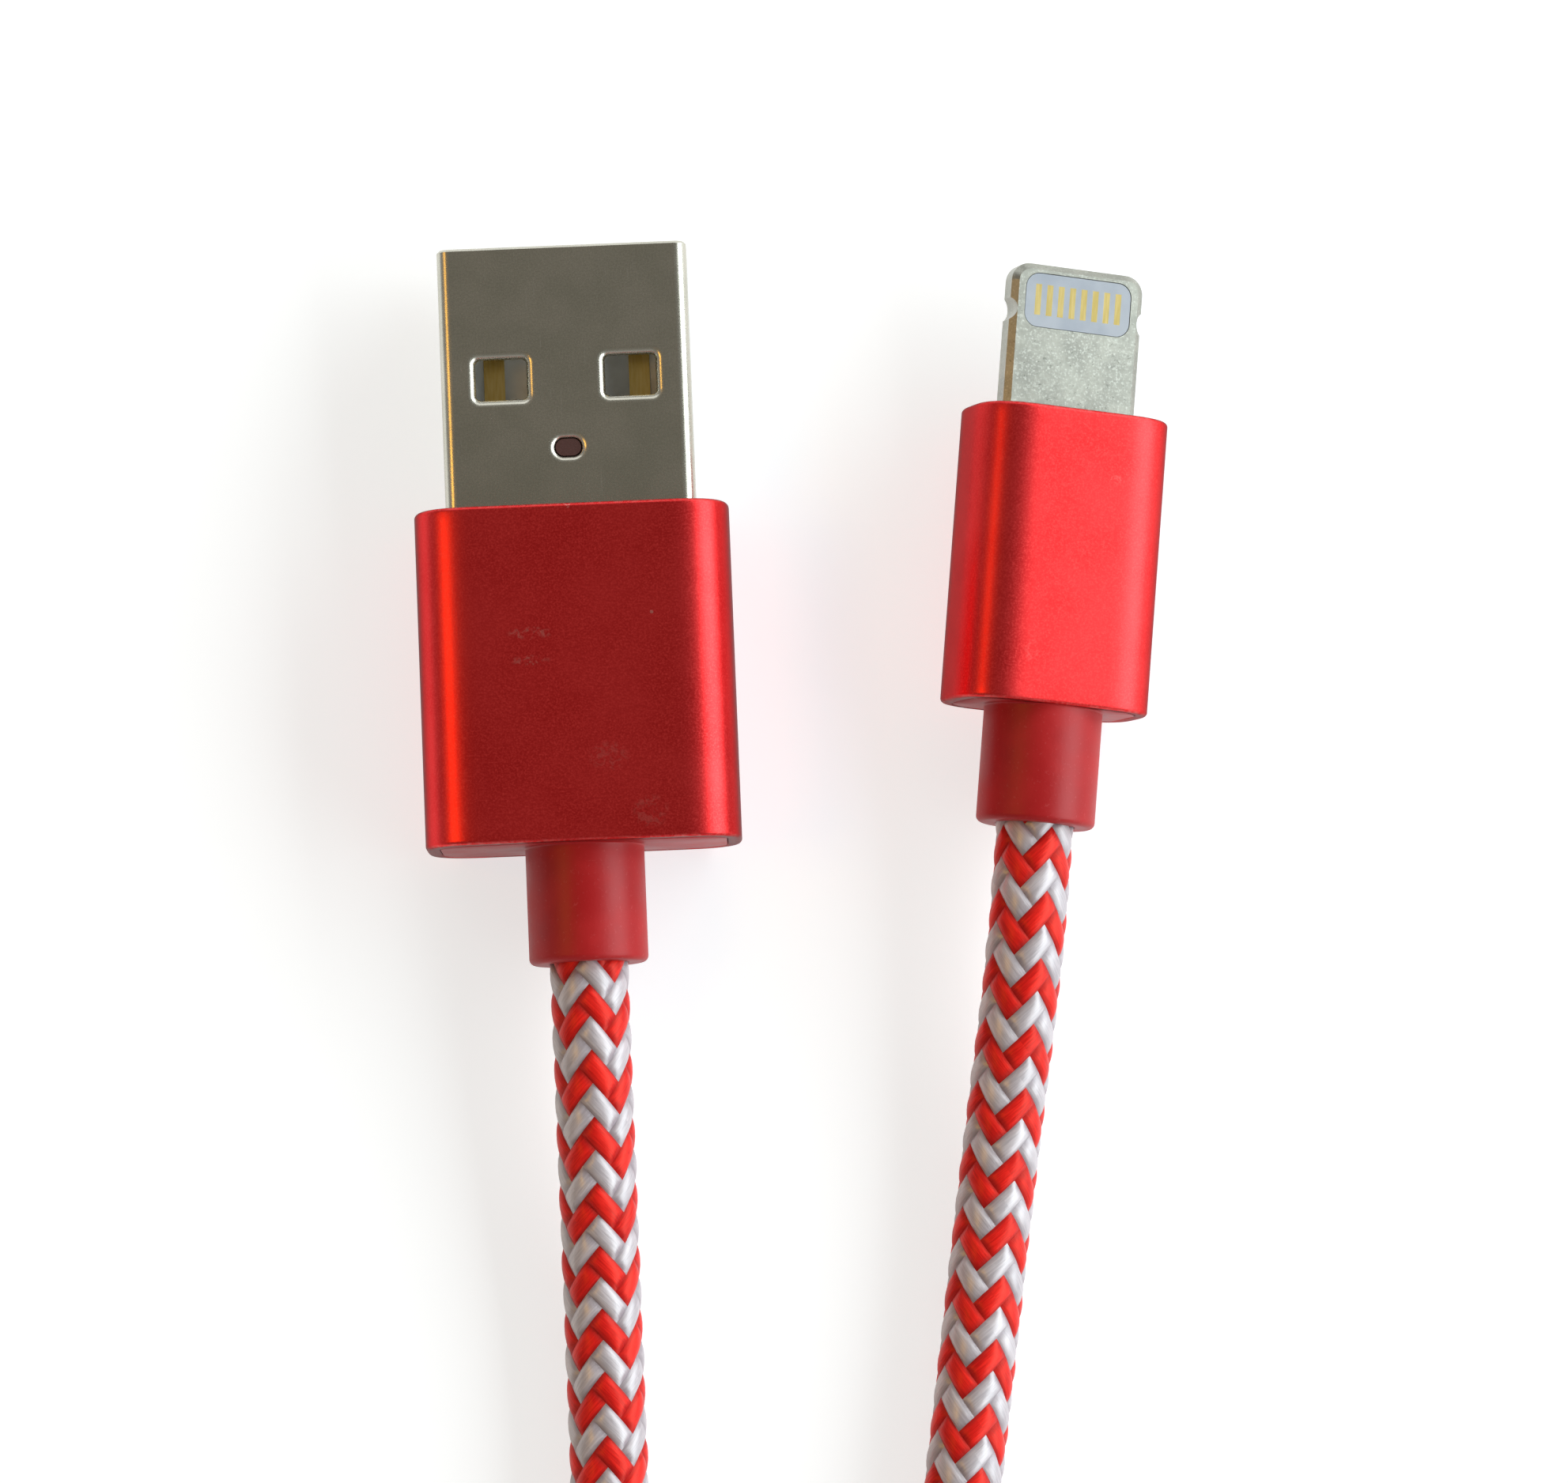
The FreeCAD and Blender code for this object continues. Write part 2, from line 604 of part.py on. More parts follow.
def device_tab():
    """The metal tab: round end corners, broken edges, a detent in each side, a pocket for the contacts."""
    half = TAB_THICKNESS / 2
    length = TAB_SHOWN - tab_back()
    blade = slab(TAB_WIDTH, length, TAB_TIP_CORNER, (0, (TAB_SHOWN + tab_back()) / 2), (-half, half))
    blade = blade.makeChamfer(TAB_BEVEL, edges_near(blade, lambda p: close_to(abs(p.z), half)))
    tab = joined([blade, tab_base()])
    for side in (-1, 1):
        x = side * (TAB_WIDTH / 2 + DETENT_RADIUS - DETENT_DEPTH)
        middle = V(x, TAB_SHOWN - DETENT_FROM_TIP, -TAB_THICKNESS)
        tab = tab.cut(Part.makeCylinder(DETENT_RADIUS, 2 * TAB_THICKNESS, middle))
    return tab.cut(pocket(0, TAB_THICKNESS)).cut(channel(0, tab_back() - CUT))


def pocket(inset, height):
    """The room for the contacts' insulator, or with an inset the insulator itself."""
    middle = (0, TAB_SHOWN - POCKET_FROM_TIP - POCKET_LENGTH / 2)
    size = (POCKET_WIDTH - 2 * inset, POCKET_LENGTH - 2 * inset)
    return slab(*size, POCKET_CORNER - inset, middle, (-height, height))


def channel(inset, back):
    """The slot inside the tab that leads from the pocket to its rear end."""
    width = CHANNEL_WIDTH / 2 - inset
    height = CHANNEL_HEIGHT / 2 - inset
    front = TAB_SHOWN - POCKET_FROM_TIP - POCKET_LENGTH + POCKET_CORNER
    return box((-width, width), (back, front), (-height, height))


def circuit_board():
    """The board: a narrow neck that carries the contacts, and a wider rear half for chip and wires."""
    half = BOARD_THICKNESS / 2
    shoulder = tab_back() - FIT
    neck_front = TAB_SHOWN - POCKET_FROM_TIP - BOARD_FRONT_MARGIN
    neck_span = (shoulder - OVERLAP, neck_front)
    neck = box((-BOARD_NECK_WIDTH / 2, BOARD_NECK_WIDTH / 2), neck_span, (-half, half))
    rear = box((-BOARD_WIDTH / 2, BOARD_WIDTH / 2), (-BOARD_END, shoulder), (-half, half))
    return joined([neck, rear])


def contact_pads(side):
    """Eight gold pads on one face of the tab, from the board to just below the face."""
    top = TAB_THICKNESS / 2 - PAD_RECESS
    height = (BOARD_THICKNESS / 2, top) if side > 0 else (-top, -BOARD_THICKNESS / 2)
    front = TAB_SHOWN - PAD_FROM_TIP
    pads = []
    for i in range(PAD_COUNT):
        x = (i - (PAD_COUNT - 1) / 2) * PAD_PITCH
        pads.append(box((x - PAD_WIDTH / 2, x + PAD_WIDTH / 2), (front - PAD_LENGTH, front), height))
    return pads


def device_insulator(board, pads):
    """The plate round the contacts, flush with both faces, with a stem that lines the tab's slot."""
    plate = pocket(FIT, TAB_THICKNESS / 2 - PAD_RECESS)
    insulator = joined([plate, channel(FIT, tab_back())]).cut(board)
    for pad in pads:
        insulator = insulator.cut(pad)
    return insulator


def board_block(size, place, side):
    """A block that stands on one face of the board."""
    width, length, height = size
    x, y = place
    face = BOARD_THICKNESS / 2
    z = (face, face + height) if side > 0 else (-face - height, -face)
    return box((x - width / 2, x + width / 2), (y - length / 2, y + length / 2), z)


def device_plug():
    """All pieces of the device plug, in the plug's own frame."""
    length = DEVICE_SLEEVE_LENGTH
    section = (DEVICE_SLEEVE_WIDTH, DEVICE_SLEEVE_HEIGHT, DEVICE_SLEEVE_CORNER, length)
    board = circuit_board()
    front = contact_pads(1)
    back = contact_pads(-1)
    chip = board_block(CHIP_SIZE, CHIP_PLACE, 1)
    chip_top = BOARD_THICKNESS / 2 + CHIP_SIZE[2]
    chip = chip.makeChamfer(CHIP_BEVEL, edges_near(chip, lambda p: close_to(p.z, chip_top)))
    components = [board_block(COMPONENT_SIZE, (x, y), side) for x, y, side in COMPONENT_PLACES]
    wires = {}
    joints = []
    conductor_z = BOARD_THICKNESS / 2 + conductor_height()
    starts = {"red": (1, 1), "white": (-1, 1), "green": (-1, -1), "black": (1, -1)}
    for colour, (side, row) in starts.items():
        pad = V(side * BOARD_WIRE_X[row], -BOARD_END, row * conductor_z)
        wires[colour] = plug_wire(length, side, row, pad)
        joints.append(solder_joint(pad, row, wires[colour]))
    tab_room = bar(TAB_WIDTH + 2 * FIT, TAB_THICKNESS + 2 * FIT, TAB_BEVEL, (tab_back(), CUT))
    held = joined([tab_room, tab_base()])
    chamber = (BOARD_WIDTH / 2 + FIT, CHAMBER_HEIGHT / 2, tab_back())
    pieces = {
        "tab": device_tab(),
        "insulator": device_insulator(board, front + back),
        "contacts_front": Part.makeCompound(front),
        "contacts_back": Part.makeCompound(back),
        "circuit_board": board,
        "control_chip": chip,
        "board_components": Part.makeCompound(components),
        "solder_joints": Part.makeCompound(joints),
        "cable_end": cable_end(length),
        "crimp_ring": crimp_ring(length),
        "inner_mould": inner_mould(*section, held, chamber),
        "sleeve": sleeve(*section),
        "strain_relief": strain_relief(*section),
    }
    for colour, wire in wires.items():
        pieces["wire_" + colour] = wire
    return pieces


def on_the_table(at, turn, roll, width, height, corner):
    """The placement of a plug whose sleeve lies on the table."""
    angle = math.radians(roll)
    lift = (height / 2 - corner) * math.cos(angle) + (width / 2 - corner) * abs(math.sin(angle)) + corner
    turned = FreeCAD.Rotation(V(0, 0, 1), turn).multiply(FreeCAD.Rotation(V(0, 1, 0), roll))
    return FreeCAD.Placement(V(at[0], at[1], lift), turned)


def inner_radius():
    return COIL_RADIUS - HALF_TURNS * COIL_PITCH / 2


def coil_reach():
    """How far the coil reaches from its middle on the far side."""
    return COIL_RADIUS - COIL_PITCH / 4 + section_radius(CABLE_DIAMETER)


def coil_placement():
    """The coil tilts a little, because its near side lies on the tie."""
    tilt = FreeCAD.Rotation(V(1, 0, 0), COIL_TILT)
    lift = coil_reach() * math.sin(math.radians(COIL_TILT))
    return FreeCAD.Placement(V(COIL_AT[0], COIL_AT[1], lift), tilt)


def arc_from(start, direction, end):
    """The arc that leaves start in a direction and ends at end."""
    chord = end - start
    angle = direction.getAngle(chord)
    outward = direction - chord * (direction.dot(chord) / chord.dot(chord))
    outward.normalize()
    middle = (start + end) * 0.5 + outward * (chord.Length / 2 * math.tan(angle / 2))
    return Part.Arc(start, middle, end).toShape()


def biarc(start, leaving, end, arriving):
    """Two tangent arcs from one point and direction to another."""
    span = end - start
    both = leaving + arriving
    a = 2 * (1 - leaving.dot(arriving))
    b = 2 * span.dot(both)
    reach = (-b + math.sqrt(b * b + 4 * a * span.dot(span))) / (2 * a)
    joint = (start + leaving * reach + end - arriving * reach) * 0.5
    return [arc_from(start, leaving, joint), arc_from(end, arriving * -1, joint)]


def straight(start, end):
    return Part.LineSegment(start, end).toShape()


def half_turn(x, ahead, side, z):
    """A half circle from one side of the coil to the other, on its near side (1) or its far side (-1)."""
    top = V((x + ahead) / 2, side * abs(ahead - x) / 2, z)
    return Part.Arc(V(x, 0, z), top, V(ahead, 0, z)).toShape()


def coil_path():
    """The cable's line through the coil, in the coil's own frame.

    It spirals in on the table, climbs a layer in the half turn where the spiral reverses, and spirals out.
    Each half turn is one arc, and the arcs' middles lie left and right of the coil's middle in turn.
    """
    low = section_radius(CABLE_DIAMETER)
    high = low + COIL_PITCH
    step = COIL_PITCH / 2
    edges = [straight(V(-COIL_RADIUS, CABLE_DIAMETER, low), V(-COIL_RADIUS, 0, low))]
    x = -COIL_RADIUS
    for i in range(HALF_TURNS):
        side = -1 if i % 2 == 0 else 1
        radius = COIL_RADIUS - step / 2 - i * step
        ahead = x - side * 2 * radius
        edges.append(half_turn(x, ahead, side, low))
        x = ahead
    dip = V(0, -(inner_radius() - step / 2), (low + high) / 2)
    slope = V(math.pi * inner_radius() / 2, 0, COIL_PITCH)
    slope.normalize()
    edges += biarc(V(x, 0, low), V(0, -1, 0), dip, slope)
    edges += biarc(dip, slope, V(-x, 0, high), V(0, 1, 0))
    x = -x
    for i in range(HALF_TURNS):
        side = 1 if i % 2 == 0 else -1
        radius = inner_radius() + step / 2 + i * step
        ahead = x - side * 2 * radius
        edges.append(half_turn(x, ahead, side, high))
        x = ahead
    edges.append(straight(V(COIL_RADIUS, 0, high), V(COIL_RADIUS, CABLE_DIAMETER, high)))
    return Part.Wire(edges)


def least_gap(wire):
    """The least gap between a coiled tube and itself, measured on points a millimetre apart."""
    points = wire.discretize(Distance=1.0)
    apart = int(3 * CABLE_DIAMETER)
    least = 1e9
    for i, point in enumerate(points):
        for other in points[i + apart:]:
            least = min(least, point.distanceToPoint(other))
    return least - 2 * section_radius(CABLE_DIAMETER)


def coil():
    """The cable's coiled length, in the coil's own frame."""
    path = coil_path()
    print(f"coil: least gap to itself {least_gap(path):.2f} mm")
    return cable_tube(path, "coil")


def tie():
    """A strap round the near side of the coil, in the coil's own frame, with its outer end lapped on top."""
    margin = section_radius(CABLE_DIAMETER) + TIE_GAP
    half = TIE_WIDTH / 2
    inner_turn = inner_radius() + COIL_PITCH / 4 - margin
    inner = math.sqrt(inner_turn**2 - (half + COIL_PITCH / 4) ** 2) + margin
    outer = COIL_RADIUS - 3 * COIL_PITCH / 4
    low = section_radius(CABLE_DIAMETER)
    high = low + COIL_PITCH
    middles = [V(-half, inner, low), V(-half, outer, low), V(-half, outer, high), V(-half, inner, high)]
    line = Part.makePolygon(middles + middles[:1])
    hole = line.makeOffset2D(margin)
    outline = line.makeOffset2D(margin + TIE_THICKNESS)
    strap = Part.Face(outline).cut(Part.Face(hole)).extrude(V(TIE_WIDTH, 0, 0))
    top = high + margin + TIE_THICKNESS
    lap = box((-half, half), (outer - TIE_LAP, outer), (top - OVERLAP, top + TIE_THICKNESS))
    corners = edges_near(lap, lambda p: close_to(p.y, outer - TIE_LAP) and close_to(abs(p.x), half))
    lap = lap.makeFillet(TIE_CORNER, corners)
    return joined([strap, lap])


def run_points(plug, sleeve_length, route, end, entry):
    """A route's points: out of a plug's strain relief, along the route, and into one end of the coil."""
    out = plug.multVec(V(0, -sleeve_length - RELIEF_LENGTH, 0))
    straight = plug.multVec(V(0, -sleeve_length - RELIEF_LENGTH - EXIT_RUN, 0))
    return [out, straight] + [V(*point) for point in route] + [entry, end]


def build():
    """Every node of the model by name."""
    nodes = {}
    charger_at = on_the_table(
        CHARGER_AT, CHARGER_TURN, 0, CHARGER_SLEEVE_WIDTH, CHARGER_SLEEVE_HEIGHT, CHARGER_SLEEVE_CORNER
    )
    device_at = on_the_table(
        DEVICE_AT, DEVICE_TURN, DEVICE_ROLL, DEVICE_SLEEVE_WIDTH, DEVICE_SLEEVE_HEIGHT, DEVICE_SLEEVE_CORNER
    )
    for prefix, pieces, at in (
        ("charger_plug_", charger_plug(), charger_at),
        ("device_plug_", device_plug(), device_at),
    ):
        for name, shape in pieces.items():
            nodes[prefix + name] = shape.transformed(at.toMatrix())
    coil_at = coil_placement()
    nodes["cable_coil"] = coil().transformed(coil_at.toMatrix())
    nodes["cable_tie"] = tie().transformed(coil_at.toMatrix())
    low = section_radius(CABLE_DIAMETER)
    high = low + COIL_PITCH
    for name, plug, length, route, x, z in (
        ("charger", charger_at, CHARGER_SLEEVE_LENGTH, CHARGER_ROUTE, -COIL_RADIUS, low),
        ("device", device_at, DEVICE_SLEEVE_LENGTH, DEVICE_ROUTE, COIL_RADIUS, high),
    ):
        end = coil_at.multVec(V(x, CABLE_DIAMETER, z))
        entry = coil_at.multVec(V(x, CABLE_DIAMETER + ENTRY_RUN, z))
        points = run_points(plug, length, route, end, entry)
        label = f"{name} run"
        nodes[f"cable_{name}_run"] = cable_tube(rounded_route(points, label), label)
    return nodes


def write(nodes):
    os.makedirs("parts", exist_ok=True)
    for name, shape in nodes.items():
        shape.exportStep(f"parts/{name}.step")


nodes = build()
write(nodes)
for name, shape in nodes.items():
    print(f"{name}: {len(shape.Solids)} solids, valid {shape.isValid()}")
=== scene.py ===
"""The looks of a braided phone charging cable: its full-length braid, its finishes, its light and its camera.

Lengths are written in millimetres, as in the model's source, and turned into metres where a mesh is made.
Each plug has its own frame: X across, Z up, and Y along the plug, 0 at its sleeve's front end and growing
towards its tip.
"""

import math

import bpy
import numpy as np
from mathutils import Matrix, Vector


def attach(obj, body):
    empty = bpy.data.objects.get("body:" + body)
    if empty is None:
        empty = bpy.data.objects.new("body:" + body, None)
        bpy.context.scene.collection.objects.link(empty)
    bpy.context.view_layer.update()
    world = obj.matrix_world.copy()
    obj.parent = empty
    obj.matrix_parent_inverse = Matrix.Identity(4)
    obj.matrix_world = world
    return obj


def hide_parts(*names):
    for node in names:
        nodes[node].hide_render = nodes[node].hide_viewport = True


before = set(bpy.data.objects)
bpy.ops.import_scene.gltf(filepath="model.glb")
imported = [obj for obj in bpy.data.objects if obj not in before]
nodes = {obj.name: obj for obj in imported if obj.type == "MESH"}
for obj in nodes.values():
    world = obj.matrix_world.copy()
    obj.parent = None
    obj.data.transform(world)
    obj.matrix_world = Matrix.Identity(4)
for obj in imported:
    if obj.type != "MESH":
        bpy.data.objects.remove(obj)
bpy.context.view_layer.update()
scene = bpy.context.scene

MM = 0.001
TINY = 1e-6                 # less than this counts as nothing
ROUND_STEPS = 14            # steps in a quarter of a ring of points

# The plugs: the middle of the sleeve's front end, the turn seen from above and the roll
CHARGER_AT = (-10.55, 4.45, 3.8)
CHARGER_TURN = 2.35
DEVICE_AT = (13.18, 9.13, 3.855)
DEVICE_TURN = -4.4
DEVICE_ROLL = 17.5

# The sleeves
CHARGER_SLEEVE_LENGTH = 16.15
CHARGER_SLEEVE_CORNER = 2.4
DEVICE_SLEEVE_LENGTH = 14.25
DEVICE_SLEEVE_CORNER = 2.2
SLEEVE_WALL = 0.7
SLEEVE_EDGE = 0.2           # radius of the outer end edges
SLEEVE_INNER_EDGE = 0.06    # chamfer at both ends of the bore
SLEEVE_EDGE_STEPS = 6
SLEEVE_CORNER_STEPS = 20
SLEEVE_RINGS = (0.04, 0.5, 0.96)    # places of the side's rings, as shares of its length
SOFT_REACH = 1.3            # how far a soft corner reaches, as a share of its radius
SOFT_POWER = 2.715          # keeps the corner's middle where a round one's is

# The shell's windows and lock hole, and how its sheet bends in round them
SHELL_HEIGHT = 4.5
WINDOW_PLACE = (3.1, 6.3)   # the middle of one of a face's two windows, across and along
WINDOW_SIZE = (3.2, 2.7)    # where the sheet starts to bend in round a window
WINDOW_CORNER = 0.6
WINDOW_BEND = (0.38, 0.36)  # how wide and how deep it bends in
LOCK_HOLE_PLACE = (0.0, 2.9)
LOCK_HOLE_SIZE = (1.9, 1.5)
LOCK_HOLE_CORNER = 0.74
LOCK_HOLE_BEND = (0.32, 0.27)
RIM_STEPS = 10
RIM_TURN = (0.05, 0.01)     # how far the skin then turns back and down
RIM_BACK = (0.08, 0.2)      # inset and depth of its back, inside the sheet
RIM_SHARP_ANGLE = 50.0      # degrees between faces whose edge is sharp

# The strain reliefs
RELIEF_DIAMETER = 5.7
RELIEF_LENGTH = 5.6
RELIEF_EDGE = 0.3           # radius of the rear edge
RELIEF_EDGE_STEPS = 7
RELIEF_LIP = 0.12           # radius of the bore's edge
RELIEF_LIP_STEPS = 5
RELIEF_ROOT = 0.1           # fillet where the neck leaves its foot
RELIEF_ROOT_STEPS = 4
RELIEF_GRIP = 0.03          # how far it presses into the braid
RELIEF_RINGS = (0.08, 0.5, 0.92)

# The cable's route: out of the plugs, along the table and into the coil
CABLE_DIAMETER = 3.8
INSIDE_RELIEF = 3.0         # the braid goes on inside the strain relief
EXIT_RUN = 6.2
ENTRY_RUN = 6.8
SPLINE_STEPS = 16           # points between two control points
CHARGER_ROUTE = [
    (-9.0, -33.6, 2.05),
    (-8.44, -47.0, 2.0),
    (-12.2, -54.7, 2.05),
    (-19.1, -60.5, 2.3),
    (-23.4, -66.7, 2.7),
]
DEVICE_ROUTE = [
    (9.92, -26.9, 2.1),
    (8.6, -38.4, 2.0),
    (7.6, -47.0, 2.05),
    (11.3, -55.2, 3.0),
    (18.9, -61.6, 5.0),
    (23.1, -67.4, 6.7),
]

# The coil: two layers of half turns, spiralling in below and out above
COIL_AT = (0.0, -85.0, 0.709)
COIL_TILT = 1.5
COIL_RADIUS = 26.2          # where the cable enters and leaves
COIL_PITCH = 4.46
COIL_LOW = 2.002            # the lower layer's axis in the coil's frame
HALF_TURNS = 6
POINTS_PER_HALF_TURN = 12

# The tie round the near side of the coil, in the coil's frame
TIE_WIDTH = 8.0
TIE_THICKNESS = 0.9
TIE_EDGE = 0.3              # radius of its long edges
TIE_EDGE_STEPS = 4
TIE_ROOM = 2.05             # from the outermost cables' middles to the tie
TIE_INNER = 12.78           # the innermost cables' middles
TIE_OUTER = 22.86
TIE_START = (0.06, 0.3, 0.65)       # its first points, as shares of the way from outer to inner
TIE_BEND_STEPS = 12
TIE_LAP = 11.0
TIE_LAP_STEPS = 24
TIE_CORNER = 2.0            # radius of the lap's two corners

# The braid: two sets of flat strands that cross two over and two under
STRANDS = 8                 # in each set
BRAID_PITCH = 12.25         # along the cable for one turn of a strand
BRAID_VALLEY = 0.2          # depth between two strands
BRAID_UNEVEN = 0.16         # how much lower the lowest strands lie
ARCH_ACROSS = (2.4, 0.6)    # how level and how steep a strand's arch is across it
ARCH_ALONG = (3, 0.65)      # and along each stretch that is seen
FINE_STEPS = 6              # steps across a strand near the plugs, seen from above
COARSE_STEPS = 3            # and elsewhere
FINE_LENGTH = 35.0          # of cable beside each plug
FINE_SIDE = -0.4            # cosine of the widest angle from straight up of a fine cell
CHARGER_LAY_TURN = -22.2    # degrees that turn the zigzags to their place at each end
DEVICE_LAY_TURN = -4.2
CHARGER_LAY_SHIFT = 1.76    # millimetres that shift them along the cable at each end
DEVICE_LAY_SHIFT = -0.72

# Marks of wear on the sleeves: place across and along, width and length, and how pale
CHARGER_MARKS = [
    (-2.1, -6.2, 2.4, 0.7, 0.45),
    (-2.1, -7.5, 2.2, 0.6, 0.40),
    (3.7, -5.4, 0.20, 0.24, 0.9),
    (1.4, -12.2, 2.2, 1.6, 0.18),
    (3.3, -14.9, 2.0, 1.8, 0.20),
    (-0.1, -0.15, 0.45, 0.3, 0.9),
]
DEVICE_MARKS = [
    (1.6, -3.2, 1.2, 0.5, 0.12),
    (-1.9, -11.8, 0.9, 1.4, 0.10),
]
MARK_CORE = 0.6             # a mark starts to fade at this share of its reach
MARK_DEPTH = 1000.0         # deep enough to go through the whole plug
# Painted shade on the charger's insulator where it lies in the dark under the lock hole: place, size and
# colour
SHADE_UNDER_LOCK_HOLE = (0.0, 3.07, 2.6, 2.4, (0.075, 0.033, 0.030))
RUBBED_EDGE = 0.16          # how wide a sleeve's end edges are rubbed
WORN_EDGE = 0.02            # and how wide they are rubbed most
CHARGER_ROUGHNESS = 0.38
DEVICE_ROUGHNESS = 0.41

# Finishes: a darker and a lighter shade, and a plastic's roughness
# One gold plating in two shades, a painted difference of light: the charger's is lighter against the shade
# inside its shell, the device's darker where its pads are lit
CHARGER_GOLD = ((0.82, 0.57, 0.17), (0.90, 0.66, 0.24))
DEVICE_GOLD = ((0.50, 0.385, 0.13), (0.57, 0.45, 0.19))
METALS = {
    "solder": ((0.55, 0.55, 0.56), (0.72, 0.72, 0.72)),
    "crimp_metal": ((0.50, 0.45, 0.36), (0.62, 0.57, 0.48)),
}
PLASTICS = {
    "charger_insulator": ((0.58, 0.59, 0.58), (0.70, 0.71, 0.70), 0.42),
    "pocket_insulator": ((0.36, 0.41, 0.48), (0.43, 0.48, 0.54), 0.34),
    "board": ((0.005, 0.06, 0.025), (0.01, 0.09, 0.035), 0.3),
    "chip": ((0.01, 0.01, 0.01), (0.02, 0.02, 0.02), 0.5),
    "component": ((0.30, 0.22, 0.12), (0.40, 0.30, 0.17), 0.4),
    "inner_mould": ((0.42, 0.42, 0.41), (0.50, 0.50, 0.48), 0.5),
    "wire_red": ((0.50, 0.01, 0.01), (0.60, 0.02, 0.02), 0.35),
    "wire_white": ((0.70, 0.70, 0.68), (0.80, 0.80, 0.78), 0.35),
    "wire_green": ((0.01, 0.25, 0.05), (0.02, 0.35, 0.08), 0.35),
    "wire_black": ((0.01, 0.01, 0.01), (0.02, 0.02, 0.02), 0.35),
}

# Yarns: two shades, the painted shade between strands, the gloss and its tint
YARNS = {
    "red_yarn": ((0.60, 0.006, 0.006), (0.93, 0.020, 0.013), (0.29, 0.002, 0.005), 0.5, (1, 0.22, 0.16)),
    "white_yarn": ((0.40, 0.355, 0.388), (0.60, 0.54, 0.57), (0.19, 0.125, 0.16), 1.0, (1, 1, 1)),
}

# Lights: bearing from +X towards +Y and elevation in degrees, size in metres, colour and radiance
LIGHTS = {
    "window": (8, 28, (1.8, 0.6), (0.89, 0.97, 1.0), 4.3),
    "lamp": (180, 48, (0.3, 0.22), (1.0, 0.50, 0.05), 5.0),
    "front": (95, 30, (1.0, 0.5), (0.97, 0.99, 1.0), 1.0),
    "near": (270, 25, (1.0, 0.45), (0.97, 0.99, 1.0), 0.12),
}
LIGHT_DISTANCE = 0.9        # metres

# The sky's colours from the horizon, 0, to straight up, 1
SKY = [
    (0.0, (0.50, 0.51, 0.52)),
    (0.10, (0.40, 0.40, 0.40)),
    (0.24, (0.27, 0.265, 0.26)),
    (0.70, (0.23, 0.22, 0.20)),
    (1.0, (0.148, 0.139, 0.120)),
]

# The floor: its colour to the camera, what it glows there, and its colour to the light
FLOOR_HALF = 6000.0
FLOOR_COLOUR = (0.56, 0.56, 0.56)
FLOOR_GLOW = (0.62, 0.645, 0.66)
FLOOR_BOUNCE = (0.8, 0.8, 0.8)

# The camera, at the photograph's angle
AIM = Vector((-0.35, -6.2, 0.0))
ELEVATION = 84.0
DISTANCE = 310.0
LENS = 146.6
SENSOR = 36.0
CLIP_START = 10.0


def plug_matrix(at, turn, roll=0.0):
    """From a plug's own frame to the table's."""
    turned = Matrix.Rotation(math.radians(turn), 4, "Z")
    rolled = Matrix.Rotation(math.radians(roll), 4, "Y")
    return Matrix.Translation(at) @ turned @ rolled


charger = plug_matrix(CHARGER_AT, CHARGER_TURN)
device = plug_matrix(DEVICE_AT, DEVICE_TURN, DEVICE_ROLL)
coil = Matrix.Translation(COIL_AT) @ Matrix.Rotation(math.radians(COIL_TILT), 4, "X")


def placed(points, at):
    """Points taken from a plug's or the coil's own frame to the table's."""
    return [at @ Vector(point) for point in points]


# Materials

def fill(tree, target, value):
    """Gives a node's input a value, a colour or another node's output."""
    if isinstance(value, bpy.types.NodeSocket):
        tree.links.new(value, target)
    elif target.type == "RGBA" and len(value) == 3:
        target.default_value = (*value, 1.0)
    else:
        target.default_value = value


def new_node(tree, kind, inputs=(), **settings):
    """A node with its settings and its inputs, which go by name or by number."""
    made = tree.nodes.new("ShaderNode" + kind)
    for name, value in settings.items():
        setattr(made, name, value)
    for name, value in dict(inputs).items():
        fill(tree, made.inputs[name], value)
    return made


